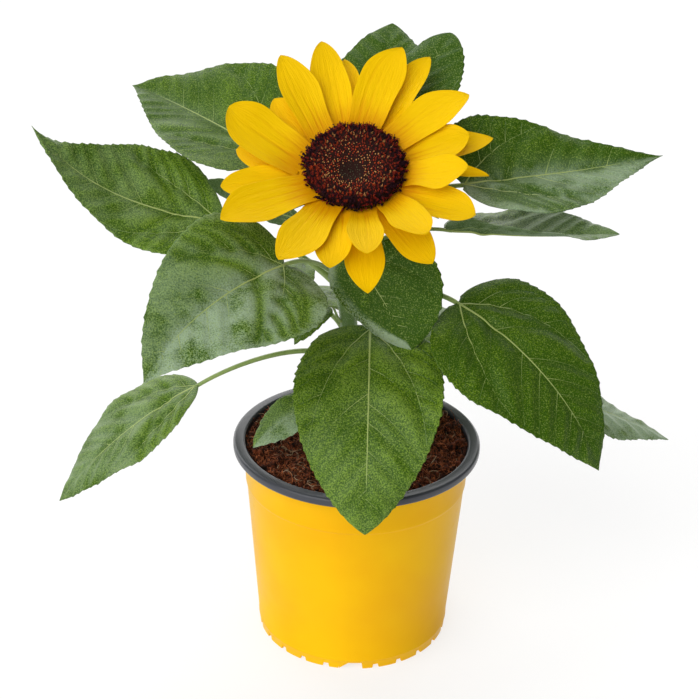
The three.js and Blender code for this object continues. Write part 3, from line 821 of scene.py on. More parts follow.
@dataclass(frozen=True)
class Cover:
    """Small things of one kind that lie or stand on a piece, and how many of them there are."""

    name: str
    item: Callable[[], Shape]
    finish: Finish
    density: float
    seed: int
    smallest: float
    largest: float
    tilt: Triple
    sink: float = 0.0

    def build(self, scatter: Tree, carrier: bpy.types.Mesh, slot: str, *nodes: str) -> None:
        """Spreads the things over a mesh and hands them over.

        Args:
            scatter: the tree that spreads an item over a mesh.
            carrier: the mesh that they lie or stand on.
            slot: the record's material slot.
            *nodes: names of the solids that they stand for.
        """
        item = self.item().mesh(self.name + "_item", [self.finish])
        piece = scatter.grow(self.name, carrier, Item=item, Finish=self.finish.material(),
                             Density=self.density, Seed=self.seed, Smallest=self.smallest,
                             Largest=self.largest, Tilt=self.tilt, Sink=self.sink * MM)
        bpy.data.objects.remove(item)
        hand_over(piece, slot, *nodes)


@dataclass(frozen=True)
class NotchSize:
    """A notch in the foot of the pot's skirt."""

    width: float
    height: float


@dataclass
class Pot:
    """The nursery pot: a thin wall, a rolled lip, a raised floor round a pad, and a notched skirt."""

    height: float = 112.0
    lip_radius: float = 65.0
    lip_height: float = 4.8
    lip_round: float = 1.5
    wall_top: float = 59.4
    wall_foot: float = 51.0
    wall: float = 1.2
    collar_height: float = 19.0
    collar_step: float = 0.4
    floor_lift: float = 4.0
    pad_radius: float = 21.0
    pad_slope: float = 1.5
    notches: int = 24
    wide_every: int = 6
    wide: NotchSize = NotchSize(12.5, 3.6)
    small: NotchSize = NotchSize(3.6, 2.2)
    notch_slant: float = 0.5
    holes: int = 8
    hole_radius: float = 3.5
    hole_ring: float = 36.0
    hole_sides: int = 24
    columns: int = 240
    arc_points: int = 6
    sharp: float = 40.0
    outside: Finish = MouldedFinish("pot_outside", 0.34)
    inside: Finish = MouldedFinish("pot_inside", 0.42, (0.038, 0.041, 0.050), (0.062, 0.065, 0.077), 0.6)

    @property
    def lip_foot(self) -> float:
        """Height of the lip's lower edge."""
        return self.height - self.lip_height

    def outer(self, height: float) -> float:
        """Outer radius of the plain wall at a height."""
        return blend(self.wall_foot, self.wall_top, height / self.lip_foot)

    def inner(self, height: float) -> float:
        """Inner radius of the wall at a height."""
        return self.outer(height) - self.wall

    def arc(self, radius: float, height: float, start: float) -> list[Pair]:
        """Points of a quarter round of the lip about a place on the profile, from an angle on."""
        turns = np.radians(np.linspace(start, start + 90.0, self.arc_points))
        return [(radius + self.lip_round * math.cos(turn), height + self.lip_round * math.sin(turn))
                for turn in turns]

    def edge_marks(self) -> list[Pair]:
        """Angles round the foot with the height of its edge at each, in rising order."""
        marks = []
        slant = self.notch_slant / self.wall_foot
        for number, turn in enumerate(even_angles(self.notches)):
            notch = self.small if number % self.wide_every else self.wide
            middle = turn - math.pi / 2.0
            half = notch.width / 2.0 / self.wall_foot
            marks += [(middle - half, 0.0), (middle - half + slant, notch.height),
                      (middle + half - slant, notch.height), (middle + half, 0.0)]
        return sorted(marks)

    def wall_shape(self) -> Shape:
        """The pot's wall, lip, floor and notched skirt in one closed body."""
        marks = self.edge_marks()
        angles = np.array(sorted({round(float(angle), 5) for angle in np.concatenate([
            even_angles(self.columns) - math.pi / 2.0, [mark[0] for mark in marks]])}))
        starts, heights = zip(*marks)
        edge = np.interp(angles, starts, heights, period=2.0 * math.pi)
        collar = self.lip_foot - self.collar_height
        step = self.collar_step
        top = self.floor_lift + self.wall
        under = [(0.0, 0.0), (self.pad_radius, 0.0), (self.pad_radius + self.pad_slope, self.floor_lift),
                 (self.inner(self.floor_lift), self.floor_lift), (self.inner(0.0), 0.0),
                 (self.wall_foot, 0.0)]
        side = [(self.outer(height) + bulge, height) for height, bulge in (
            (4.6, 0.0), (5.0, 0.25), (5.6, 0.25), (6.0, 0.0), (collar * 0.35, 0.0), (collar * 0.7, 0.0),
            (collar - 0.6, 0.0), (collar, 0.1), (collar + step, step), (collar + 3.0 * step, step + 0.1),
            (collar + 5.0 * step, step), (self.lip_foot - 1.0, step))]
        lip = [(self.wall_top + step + 0.2, self.lip_foot - 0.2)]
        out, low = self.lip_radius - self.lip_round, self.lip_foot + self.lip_round
        high = self.height - self.lip_round
        for radius, height, start in ((out, low, -90.0), (out, high, 0.0),
                                      (self.inner(self.height) + self.lip_round, high, 90.0)):
            lip += self.arc(radius, height, start)
        inside = [(self.inner(self.lip_foot), self.lip_foot), (self.inner(top), top),
                  (self.pad_radius + self.pad_slope - self.wall, top),
                  (self.pad_radius - self.wall, self.wall), (0.0, self.wall)]
        outer_part = under + side
        profile = outer_part + lip + inside
        finishes = [0] * len(outer_part) + [1] * (len(profile) - 1 - len(outer_part))
        skirt_rows = slice(len(under) - 3, len(under) - 1)

        def cut_edge(points: Array) -> Array:
            """Lifts the skirt's lower edge into its notches."""
            points[skirt_rows, :, 2] = edge
            return points

        shape = Shape()
        add_turned(shape, profile, angles, finishes, cut_edge)
        return shape

    def hole_tools(self) -> bpy.types.Object:
        """Short cylinders that cut the drain holes."""
        shape = Shape()
        low, high = self.floor_lift - self.wall, self.floor_lift + 2.0 * self.wall
        for number in range(self.holes):
            centre = around(360.0 * (number + 0.5) / self.holes, self.hole_ring, 0.0)
            line = centre + np.outer([low, high], UP)
            add_tube(shape, line, np.full(2, self.hole_radius), self.hole_sides)
        return shape.mesh("hole_tools", [self.inside])

    def build(self) -> None:
        """Makes the pot and hands it over."""
        piece = self.wall_shape().mesh("pot_wall_and_lip", [self.outside, self.inside], self.sharp)
        tools = self.hole_tools()
        cut = piece.modifiers.new("drain_holes", "BOOLEAN")
        cut.object = tools
        cut.solver = "EXACT"
        finished = plain_mesh(piece)
        piece.modifiers.remove(cut)
        piece.data = finished
        bpy.data.objects.remove(tools)
        finished.set_sharp_from_angle(angle=math.radians(self.sharp))
        hand_over(piece, "pot", "pot")


@dataclass
class Soil:
    """The bed of peat with its crumbs and coconut fibres."""

    pot: Pot
    top: float = 109.5
    clearance: float = 0.3
    seat_radius: float = 7.0
    seat_slope: float = 6.0
    edge_slope: float = 1.5
    lump: float = 1.9
    lump_size: float = 11.0
    lump_detail: tuple[float, float, int] = (0.9, 2.1, 5)
    rings: int = 44
    sides: int = 200

    def lift(self, points: Array) -> Array:
        """Raises the bed's top into lumps, level at the stem and the wall."""
        reach = np.hypot(points[..., 0], points[..., 1])
        edge = self.pot.inner(self.top)
        share = smooth(self.seat_radius, self.seat_radius + self.seat_slope, reach)
        share = share * smooth(edge, edge - self.edge_slope, reach)
        on_top = points[..., 2] > self.top - self.clearance
        heights = [noise.fractal(Vector(point) / self.lump_size, *self.lump_detail)
                   for point in points.reshape(-1, 3)]
        lumps = np.array(heights).reshape(reach.shape) * self.lump
        points[..., 2] += np.where(on_top, lumps * share, 0.0)
        return points

    def build(self, scatter: Tree) -> None:
        """Makes the bed, crumbs and fibres.

        Args:
            scatter: the tree that spreads an item over a mesh.
        """
        pot = self.pot
        floor = pot.floor_lift + pot.wall + self.clearance
        low = pot.wall + self.clearance
        edge = pot.inner(self.top) - self.clearance
        profile = [(0.0, low), (pot.pad_radius - low, low), (pot.pad_radius + pot.pad_slope - low, floor),
                   (pot.inner(floor) - self.clearance, floor)]
        tops = [(edge * (1.0 - ring / self.rings), self.top) for ring in range(self.rings)]
        profile += tops + [(0.0, self.top)]
        shape = Shape()
        add_turned(shape, profile, even_angles(self.sides), 0, self.lift)
        hand_over(shape.mesh("soil_bed", [Peats.BED]), "soil", "soil")
        surface = Shape()
        add_turned(surface, [(0.0, self.top), *tops[1:], (0.0, self.top)], even_angles(self.sides), 0,
                   self.lift)
        carrier = surface.mesh("soil_surface", [Peats.BED])
        for part in Litter:
            part.value.build(scatter, carrier.data, "soil", "soil")
        bpy.data.objects.remove(carrier)


def crumb_item() -> Shape:
    """A crumb about a millimetre across, with flat broken faces."""
    shape = Shape()
    sides, flattened = 5, np.array([1.0, 0.8, 1.0])
    rings = [(0.28, -0.42), (0.55, -0.12), (0.48, 0.22), (0.20, 0.45)]
    points = [ring_points([radius] * sides, height, turn) for turn, (radius, height) in enumerate(rings)]
    shape.add(np.concatenate(points) * flattened, ring_faces(len(rings), sides))
    return shape


def fibre_item(length: float, bend: float, radius: float) -> Shape:
    """A curved fibre that lies along X.

    Args:
        length: its length.
        bend: how many degrees it turns by from end to end.
        radius: its radius at the middle.

    Returns:
        The fibre.
    """
    steps, sides = 7, 3
    ripple, ripple_turn = 0.25, 7.0
    share = np.linspace(0.0, 1.0, steps)
    turn = np.radians(bend) * (share - 0.5)
    pace = length / (steps - 1)
    x = np.cumsum(np.cos(turn)) * pace
    y = np.cumsum(np.sin(turn)) * pace
    centres = np.stack([x - x.mean(), y - y.mean(), ripple * np.sin(share * ripple_turn)], -1)
    taper = np.sin(np.clip(share, 0.08, 0.92) * math.pi) ** 0.5
    shape = Shape()
    add_tube(shape, centres, radius * taper, sides)
    return shape


class Litter(Enum):
    """The kinds of litter on the soil."""

    CRUMBS = Cover("peat_crumbs", crumb_item, Peats.CRUMB, 150000.0, 3, 0.7, 2.4, ANY_WAY, 0.1)
    CLODS = Cover("peat_clods", crumb_item, Peats.CRUMB, 12000.0, 29, 2.6, 5.0, ANY_WAY, 0.3)
    SPECKS = Cover("red_crumbs", crumb_item, Peats.RED, 60000.0, 5, 0.5, 1.6, ANY_WAY, 0.0)
    SHORT = Cover("short_fibres", lambda: fibre_item(6.5, 80.0, 0.16), Peats.RED, 200000.0, 11,
                       0.6, 1.4, (0.5, 0.5, 3.1), -0.5)
    LONG = Cover("long_fibres", lambda: fibre_item(14.0, 150.0, 0.18), Peats.RED, 26000.0, 17,
                      0.7, 1.3, (0.3, 0.3, 3.1), -0.6)
    STRAW = Cover("pale_fibres", lambda: fibre_item(13.0, 240.0, 0.24), Peats.PALE, 6000.0, 23,
                       0.7, 1.3, (0.3, 0.3, 3.1), -1.0)


@dataclass(frozen=True)
class BloomPlace:
    """Where the bloom's centre is, and how far its axis leans to the front."""

    centre: Triple = (-4.3, -12.0, 267.6)
    lean: float = 34.0

    def matrix(self) -> Matrix:
        """Turns the bloom's own frame into the plant's, in metres."""
        return Matrix.Translation(Vector(self.centre) * MM) @ Matrix.Rotation(math.radians(self.lean), 4, "X")

    def axis(self) -> Array:
        """The unit vector out of the bloom's face."""
        lean = math.radians(self.lean)
        return np.array([0.0, -math.sin(lean), math.cos(lean)])


@dataclass(frozen=True)
class StemMark:
    """The stem's centre and radius at a height."""

    height: float
    x: float
    y: float
    radius: float


@dataclass
class Stem:
    """The main stem, from its flat cut at the soil to the back of the bloom."""

    bloom: BloomPlace
    marks: tuple[StemMark, ...] = (
        StemMark(109.8, 0.0, 0.0, 5.6), StemMark(117.0, 0.0, 0.0, 4.7), StemMark(136.0, -1.5, 0.0, 4.3),
        StemMark(172.0, -5.0, 1.0, 4.0), StemMark(208.0, -9.0, 4.0, 3.7), StemMark(232.0, -7.5, 6.0, 3.5))
    cup_back: float = 18.3
    neck_length: float = 9.0
    neck_radius: float = 3.5
    neck_end_radius: float = 4.2
    steps: int = 130
    sides: int = 32
    ribs: tuple[int, float] = (8, 0.035)
    tuck: float = 2.0
    node_reach: float = 3.0
    node_swell: float = 0.10
    most_swell: float = 1.2

    def __post_init__(self) -> None:
        """Works out the centre line and the radius along it."""
        axis = self.bloom.axis()
        end = np.array(self.bloom.centre) - axis * self.cup_back
        points = [np.array([mark.x, mark.y, mark.height]) for mark in self.marks]
        points += [end - axis * self.neck_length, end]
        radii = [mark.radius for mark in self.marks] + [self.neck_radius, self.neck_end_radius]
        places = np.linspace(0.0, len(points) - 1.0, self.steps + 1)
        self.line = np.array([spline_point(points, place) for place in places])
        self.radii = np.interp(places, np.arange(len(radii)), radii)

    def at(self, height: float) -> tuple[Array, float]:
        """The stem's centre and radius at a height."""
        heights = self.line[:, 2]
        centre = np.array([np.interp(height, heights, self.line[:, axis]) for axis in range(3)])
        return centre, float(np.interp(height, heights, self.radii))

    def build(self, nodes: Sequence[float]) -> bpy.types.Object:
        """Makes the stem, a little thicker where leaves leave it.

        Args:
            nodes: heights at which stalks leave the stem.

        Returns:
            The piece.
        """
        swell = sum(np.exp(-((self.line[:, 2] - height) / self.node_reach) ** 2) for height in nodes)
        radii = self.radii * (1.0 + self.node_swell * np.minimum(swell, self.most_swell))
        line = self.line.copy()
        line[-1] += self.bloom.axis() * self.tuck
        shape = Shape()
        add_tube(shape, line, radii, self.sides, 0, self.ribs)
        return hand_over(shape.mesh("main_stem_skin", [Greens.STEM]), "stem", "stem")


def spline_point(points: Sequence[Array], place: float) -> Array:
    """A point of the smooth curve through a list of points, with the knots spaced by distance.

    Args:
        points: the points that the curve passes through.
        place: where on the curve, as a number of points from the first.

    Returns:
        The point.
    """
    below = min(int(place), len(points) - 2)
    share = place - below
    near, far = points[below], points[below + 1]
    before = points[below - 1] if below > 0 else 2.0 * near - far
    after = points[below + 2] if below + 2 < len(points) else 2.0 * far - near
    knots = [math.sqrt(np.linalg.norm(b - a)) for a, b in ((before, near), (near, far), (far, after))]
    middle = knots[1]
    leave = ((near - before) / knots[0] - (far - before) / (knots[0] + middle) + (far - near) / middle)
    arrive = ((far - near) / middle - (after - near) / (middle + knots[2]) + (after - far) / knots[2])
    leave, arrive = leave * middle, arrive * middle
    square = 3.0 * (far - near) - 2.0 * leave - arrive
    cube = 2.0 * (near - far) + leave + arrive
    return near + share * (leave + share * (square + share * cube))


@dataclass(frozen=True)
class LeafPlan:
    """A leaf's place and shape, as in its solid, and its looks.

    Its curl is how many degrees its right margin bends up by. Its painted sheen is how much pale sheen
    is painted into its colour, and its side where that is: from -1, on its right half alone, to 1, on its
    left.
    """

    node: str
    height: float
    at: Triple
    length: float
    width: float
    heading: float
    rise: float
    droop: float
    roll: float
    fold: float
    lobe: float
    turn: float = 0.0
    twist: float = 0.0
    ease: float = 1.2
    arch: float = 0.1
    full: float = 0.5
    point: float = 0.9
    shear: float = 0.0
    skew: float = 0.0
    tone: float = 0.5
    curl: float = 0.0
    # How much painted sheen is laid into the leaf's colour.
    haze: float = 0.0
    side: float = 0.0


LEAVES = (
    LeafPlan("leaf_01_small_low", 120, (210, 22, 140), 44, 26, 213, -10, -40, -10, 5, 2, tone=0.55,
             haze=0.8, side=0.8),
    LeafPlan("leaf_02_low_right", 140, (14, 80, 138), 112, 50, 16.5, -23, -30, 8, 1, 4, point=1, tone=0.6,
             haze=1.0),
    LeafPlan("leaf_03_low_left", 158, (195.5, 84, 152.5), 94, 55, 196, -28, -52, -6, 4, 0, full=0.65,
             point=1, shear=0.05, skew=-0.08, haze=0.35),
    LeafPlan("leaf_04_low_back_right", 148, (54, 44, 158), 90, 60, 54, -4, -46, 8, 6, 6),
    LeafPlan("leaf_05_back", 166, (95, 44, 168), 98, 66, 95, -6, -52, 0, 6, 6),
    LeafPlan("leaf_06_back_left", 174, (140, 46, 180), 88, 60, 138, -4, -50, -10, 6, 6),
    LeafPlan("leaf_07_young", 180, (200, 17, 190), 26, 18, 206, -30, -60, 0, 5, 2),
    LeafPlan("leaf_08_front", 188, (-72, 17, 184), 110, 73, 270, -20, -80, 0, 4, 6, point=0.85,
             shear=-0.05, haze=0.08),
    LeafPlan("leaf_09_front_right", 192, (-14, 50, 197), 112, 79, 324.5, -17, -66, 17, 6, 5, turn=8,
             point=1.04, skew=-0.06, tone=0.15),
    LeafPlan("leaf_10_left", 200, (172.5, 70, 228), 111, 65, 175.5, 4.5, 58, -29, 10, 2, turn=-4, ease=1.6,
             full=0.65, point=1.53, shear=-0.24, skew=-0.14, haze=0.2),
    LeafPlan("leaf_11_front_left", 205, (223, 50, 225), 97, 80.5, 225, -4, -48, -28, 16, 10, turn=2,
             ease=1.6, point=1.19, skew=0.04, haze=1.0, side=0.6),
    LeafPlan("leaf_12_right", 215, (1, 42, 231), 86, 56, -1.5, -7, 7, -24, 21, 4, turn=2.5, twist=30,
             ease=1, arch=0.05, point=0.91, haze=0.4),
    # leaf_13's low tone is partly painted shade, for the shadow of the bloom that it hangs under.
    LeafPlan("leaf_13_under_bloom", 216, (-98.3, 19, 222.3), 53, 50, 337, -50, -58.5, 69.5, 4, 8,
             point=0.8, shear=0.2, skew=0.26, tone=0.05, curl=45),
    LeafPlan("leaf_14_small_left", 222, (172, 30, 232), 52, 44, 168, 14, 24, 40, 4, 2, point=0.6),
    LeafPlan("leaf_15_upper_left", 228, (144.5, 62, 256), 99.5, 83, 140, 11, 4, -20.5, 22, 10, point=1.22,
             shear=-0.04, skew=-0.1, tone=0.3, haze=0.2, side=1.0),
    LeafPlan("leaf_16_upper_right", 234, (15.5, 51, 250), 107.5, 71.5, 14, 1.5, 10, 28, 23, 6, turn=2,
             ease=2, point=1.38, shear=-0.28, skew=0.04, tone=0.1, haze=0.7, side=-1.0),
    # The low tones of leaf_17 and leaf_18 are partly painted shade, for the bloom shading them from the
    # front.
    LeafPlan("leaf_17_top_back", 241, (84, 22, 252), 95.5, 58.5, 82, 40, 30, -2, 6, 3, point=0.79,
             skew=0.04, tone=0.0),
    LeafPlan("leaf_18_top_right", 244, (62.5, 20, 256), 83, 45, 60, 45, 38, 3, 6, 3, turn=-6,
             point=0.6, tone=-0.15),
)


@dataclass(frozen=True)
class VeinCourse:
    """One vein's course: shares of the blade's length and half width, its radius and paleness."""

    share: Array
    across: Array
    radius: Array
    pale: Array
    main: bool


@dataclass(frozen=True)
class VeinRow:
    """Branches of one kind: starts, angles and thickness from base to tip, reach in leaf widths."""

    starts: tuple[float, ...]
    leaving: Pair
    arriving: Pair
    reach: float
    thick: Pair
    pale: Pair


@dataclass
class Leaf:
    """One leaf: stalk, blade, and the veins raised on both sides of it.

    A bulge is how far the blade rises between veins, a shade how much darker its colour is painted at
    them as painted shade in the creases, and each has its distance from the vein.
    """

    plan: LeafPlan
    stem: Stem
    full_length: float = 110.0
    least_size: float = 0.75
    base_share: float = 0.002
    thickness: float = 0.5
    station_pitch: float = 0.85
    column_pitch: float = 1.35
    tooth_pitch: float = 4.2
    tooth_depth: float = 1.25
    main_bulge: Pair = (1.6, 4.5)
    side_bulge: Pair = (1.0, 3.0)
    ripple: float = 1.2
    vein_step: float = 1.6
    overrun: float = 1.4
    vein_end: Pair = (0.96, 0.93)
    slimness: float = 0.76
    softness: float = 0.003
    main_shade: Pair = (0.25, 4.0)
    side_shade: Pair = (0.40, 0.9)
    # How the painted sheen keeps off the side veins, and how fast it changes across the midrib.
    haze_gap: float = 3.0
    haze_change: float = 5.0
    strip: Pair = (1.2, 9.0)
    curl_blur: float = 0.15
    # How much lighter the rolled strip is painted, and how much painted sheen it gets, for light glancing off
    # it.
    curl_sheen_tone: float = 0.4
    curl_haze: float = 1.3
    stations: int = 241
    stalk_rows: int = 26
    rib_rows: int = 60
    root: tuple[Pair, ...] = ((0.3, 0.9), (0.85, 0.35))
    thin: float = 0.15
    stray: float = 0.02
    stagger: float = 0.018
    outward: VeinRow = VeinRow((0.14, 0.30, 0.47, 0.64, 0.82), (86.0, 52.0), (46.0, 34.0), 0.3,
                               (0.26, 0.26), (0.35, 0.90))
    inward: VeinRow = VeinRow((0.20, 0.38, 0.49, 0.60, 0.71, 0.82), (58.0, 46.0), (36.0, 26.0), 0.5,
                              (0.42, 0.26), (0.35, 0.85))
    strong_pale: Pair = (0.6, 0.9)

    def __post_init__(self) -> None:
        """Draws the leaf's random numbers and works out its midrib."""
        plan = self.plan
        self.random = np.random.default_rng(int(plan.node[5:7]))
        self.shares = np.linspace(0.0, 1.0, self.stations)
        middle = (self.shares[1:] + self.shares[:-1]) / 2.0
        steps = direction(self.bearing(middle), self.pitch(middle)) * (plan.length / len(middle))
        self.midrib = around(*plan.at) + np.vstack([np.zeros(3), np.cumsum(steps, 0)])
        self.phases = self.random.uniform(0.0, 2.0 * math.pi, 6)
        self.veins = self.all_veins()

    def bearing(self, share: Array) -> Array:
        """The midrib's bearing."""
        return self.plan.heading + self.plan.turn * share

    def pitch(self, share: Array) -> Array:
        """The midrib's pitch."""
        return blend(self.plan.rise, self.plan.droop, share ** self.plan.ease)

    def half_width(self, share: Array) -> Array:
        """Half the blade's width: rounded at the base, pointed at the tip."""
        plan = self.plan
        x = blend(self.base_share, 1.0, share)
        widest = plan.full / (plan.full + plan.point)
        top = widest ** plan.full * (1.0 - widest) ** plan.point
        return plan.width / 2.0 * x ** plan.full * (1.0 - x) ** plan.point / top

    def teeth(self, share: Array, across: Array) -> Array:
        """How far the toothed margin stands out at a place, with the teeth pointing forward."""
        count = int(self.plan.length / self.tooth_pitch)
        sizes = np.random.default_rng(count).uniform(0.35, 1.0, 2 * count + 4)
        place = share * count + np.where(across > 0.0, 0.0, 0.45)
        number = np.floor(place).astype(int)
        rise = (place - number) ** 1.4
        near_ends = smooth(0.0, 0.12, share) * smooth(1.0, 0.86, share)
        return self.tooth_depth * rise * sizes[number + np.where(across > 0.0, 0, count + 2)] * near_ends

    def surface(self, share: Array, across: Array, lift: float | Array = 0.0) -> Array:
        """Points of the blade's middle surface.

        Args:
            share: how far along the blade each point is.
            across: how far it is towards the left margin, from -1 to 1.
            lift: how far it is raised off the surface.

        Returns:
            The points, with one more axis than the shares.
        """
        plan = self.plan
        centre = np.stack([np.interp(share, self.shares, self.midrib[:, axis]) for axis in range(3)], -1)
        forward, left, up = frames(self.bearing(share), self.pitch(share), plan.roll + plan.twist * share)
        half = self.half_width(share)
        fold = math.radians(plan.fold)
        lobe = plan.lobe * (1.0 - share) ** 1.5 * np.sqrt(2.0 * half / plan.width)
        out = half * (1.0 + plan.skew * np.sign(across))
        soft = np.sqrt(across ** 2 + self.softness) - math.sqrt(self.softness)
        aside, rolled = self.roll_up(share, across)
        rise = out * (soft * math.sin(fold) - plan.arch * across ** 2 + rolled)
        ahead = plan.shear * half * across - lobe * across ** 2
        return (centre + forward * ahead[..., None] + left * (out * aside * math.cos(fold))[..., None]
                + up * (rise + lift)[..., None])

    def crease(self, share: Array) -> Array:
        """How far across the blade the strip at its right margin starts to bend up."""
        return np.clip(1.0 - blend(*self.strip, share) / (self.half_width(share) + 0.5), 0.1, 0.95)

    def roll_up(self, share: Array, across: Array) -> tuple[Array, Array]:
        """Where places across the blade lie once its right margin is rolled up: aside, and raised."""
        crease = self.crease(share)
        strip = 1.0 - crease
        most = math.radians(self.plan.curl) * smooth(0.02, 0.30, share) + 1e-4
        radius = strip / np.sin(np.minimum(most, math.pi / 2.0))
        past = np.maximum(-across - crease, 0.0)
        angle = most * past / strip
        aside = np.where(past > 0.0, -crease - radius * np.sin(angle), across)
        return aside, radius * (1.0 - np.cos(angle))

    def trace(self, share: float, across: float, start: float, end: float, reach: float) -> Array:
        """Follows a vein until it nears the margin.

        Args:
            share: where it starts along the blade.
            across: where it starts across the blade.
            start: its angle to the midrib at the start.
            end: its angle after its reach.
            reach: the length over which it bends.

        Returns:
            Shares along the blade in its first row, and across it in its second.
        """
        side = 1.0 if start > 0.0 else -1.0
        points = [(share, across)]
        gone = 0.0
        while gone < reach * self.overrun:
            angle = math.radians(blend(start, end, min(gone / reach, 1.0)))
            half = float(self.half_width(np.float64(share)))
            next_share = share + math.cos(angle) * self.vein_step / self.plan.length
            offset = across * half + math.sin(angle) * self.vein_step
            next_half = float(self.half_width(np.float64(min(next_share, 1.0))))
            last_share, last_across = self.vein_end
            if next_share > last_share or abs(offset) > last_across * next_half or offset * side < 0.0:
                break
            share, across = next_share, offset / next_half
            points.append((share, across))
            gone += self.vein_step
        return np.array(points).T

    def course(self, trace: Array, thick: float, thin: float, pale: float, main: bool = False) -> VeinCourse:
        """A vein that tapers and greens along its trace."""
        count = trace.shape[1]
        return VeinCourse(*trace, np.linspace(thick, thin, count),
                          pale * np.linspace(1.0, 0.35 if main else 0.0, count), main)

    def all_veins(self) -> list[VeinCourse]:
        """The veins but the midrib: two that leave the base with it, and their branches."""
        plan = self.plan
        wide = plan.width / plan.length
        size = max(plan.length / self.full_length, self.least_size)
        thin = self.thin * size
        veins = []
        for side in (-1.0, 1.0):
            lateral = self.trace(0.012, 0.0, side * min(62.0 * wide, 60.0), side * 11.0 * wide,
                                 0.62 * plan.length)
            veins.append(self.course(lateral, 0.55 * size, 0.20 * size, self.random.uniform(0.75, 1.0), True))
            count = lateral.shape[1]
            for start in self.outward.starts:
                place = int(count * (start + self.random.uniform(-self.stray, self.stray)))
                if place >= count - 2:
                    continue
                outward = self.branch(self.outward, start, side, *lateral[:, place])
                veins.append(self.course(outward, self.outward.thick[0] * size, thin,
                                         self.random.uniform(*self.outward.pale)))
            for start in self.inward.starts:
                start += self.random.uniform(-self.stray, self.stray) + self.stagger * side
                inward = self.branch(self.inward, start, side, start, 0.0)
                low = start < 0.30
                if low:
                    inward = self.stop_short(inward, lateral)
                strong = 0.30 < start < 0.45
                pale = self.random.uniform(*(self.strong_pale if strong else self.inward.pale))
                veins.append(self.course(inward, blend(*self.inward.thick, start) * size, thin, pale,
                                         not low))
        return [vein for vein in veins if len(vein.share) > 3]

    def branch(self, row: VeinRow, start: float, side: float, share: float, across: float) -> Array:
        """The trace of a row's branch from a place on the blade, to the left where its side is 1."""
        return self.trace(share, across, side * blend(*row.leaving, start),
                          side * blend(*row.arriving, start), row.reach * self.plan.width)

    def stop_short(self, trace: Array, lateral: Array) -> Array:
        """Cuts a vein off where it meets the one that leaves the base beside it."""
        limit = np.interp(trace[0], lateral[0], np.abs(lateral[1]), right=0.0)
        inside = np.abs(trace[1]) < limit
        count = len(inside) if inside.all() else int(np.argmin(inside[1:])) + 1
        return trace[:, :max(count, 1)]

    def flat(self, share: Array, across: Array) -> Array:
        """Places on the blade laid flat, in millimetres."""
        return np.stack([share * self.plan.length, across * self.half_width(share)], -1)

    def distance(self, places: Array, main: bool) -> Array:
        """Distance on the flat blade from each place to the nearest vein of a kind."""
        lines = [self.flat(vein.share, vein.across) for vein in self.veins if vein.main == main]
        if main:
            lines.append(self.flat(self.shares[::3], np.zeros(len(self.shares[::3]))))
        targets = np.concatenate(lines)
        nearest = np.full(len(places), np.inf)
        for part in np.array_split(targets, max(1, len(targets) // 200)):
            gaps = np.linalg.norm(places[:, None] - part[None], axis=2)
            nearest = np.minimum(nearest, gaps.min(1))
        return nearest

    def gaps(self, share: Array, across: Array) -> tuple[Array, Array]:
        """Distances from places on the blade to the nearest main vein and the nearest side vein."""
        places = self.flat(share.ravel(), across.ravel())
        main, side = (self.distance(places, kind).reshape(share.shape) for kind in (True, False))
        return main, side

    def lift(self, share: Array, across: Array) -> Array:
        """How far the blade bulges between its veins and ripples towards its margin."""
        scale = self.plan.length / self.full_length
        bulge = sum(depth * scale * (1.0 - np.exp(-(gap / (slope * scale)) ** 2)) for gap, (depth, slope)
                    in zip(self.gaps(share, across), (self.main_bulge, self.side_bulge)))
        waves = np.sin(share * 11.0 + self.phases[0] + np.where(across > 0.0, 0.0, self.phases[1]))
        waves = waves + 0.5 * np.sin(share * 23.0 + self.phases[2] + across * 2.0)
        ends = smooth(0.0, 0.15, share) * smooth(1.0, 0.85, share)
        ripples = self.ripple * scale * waves * np.abs(across) ** 2.5
        return bulge * ends * (1.0 - 0.5 * across ** 4) + ripples * ends

    def add_blade(self, shape: Shape) -> None:
        """Adds the blade, with a toothed margin."""
        plan = self.plan
        rows = max(40, int(plan.length / self.station_pitch))
        half_columns = max(8, int(plan.width / 2.0 / self.column_pitch))
        share = np.linspace(0.0, 0.9985, rows)
        right = -1.0 + np.linspace(0.0, 1.0, half_columns + 1)[:-1] ** 1.25
        share, across = np.meshgrid(share, np.concatenate([right, [0.0], -right[::-1]]), indexing="ij")
        lift = self.lift(share, across)
        edge = np.abs(across) ** 14
        toothed = across + np.sign(across) * edge * self.teeth(share, across) / (self.half_width(share) + 0.5)
        thickness = self.thickness * (1.0 - 0.5 * np.abs(across) ** 8) / 2.0
        top = self.surface(share, toothed, lift + thickness)
        bottom = self.surface(share, toothed, lift - thickness)
        coordinates = np.stack([share, across * 0.5 + 0.5], -1)
        main, side = self.gaps(share, across)
        # Painted shade: the colour is darker near the veins, in the creases between the bulges.
        tone = plan.tone - sum(shade * np.exp(-(gap / reach) ** 2) for gap, (shade, reach)
                               in ((main, self.main_shade), (side, self.side_shade)))
        # Painted sheen on the bulges between side veins, on one half of the blade or both.
        haze = plan.haze * (1.0 - np.exp(-(side / self.haze_gap) ** 2))
        haze = haze * np.clip(1.0 + plan.side * np.tanh(self.haze_change * across), 0.0, 1.0)
        # The rolled strip at the right margin is painted lighter and sheened, as painted sheen for light
        # glancing off it.
        crease = self.crease(share)
        curled = smooth(crease - self.curl_blur, crease + self.curl_blur, -across) * (plan.curl > 0.0)
        add_sheet(shape, top, bottom, coordinates, (0, 1), tone=tone + self.curl_sheen_tone * curled,
                  haze=np.maximum(haze, self.curl_haze * curled))

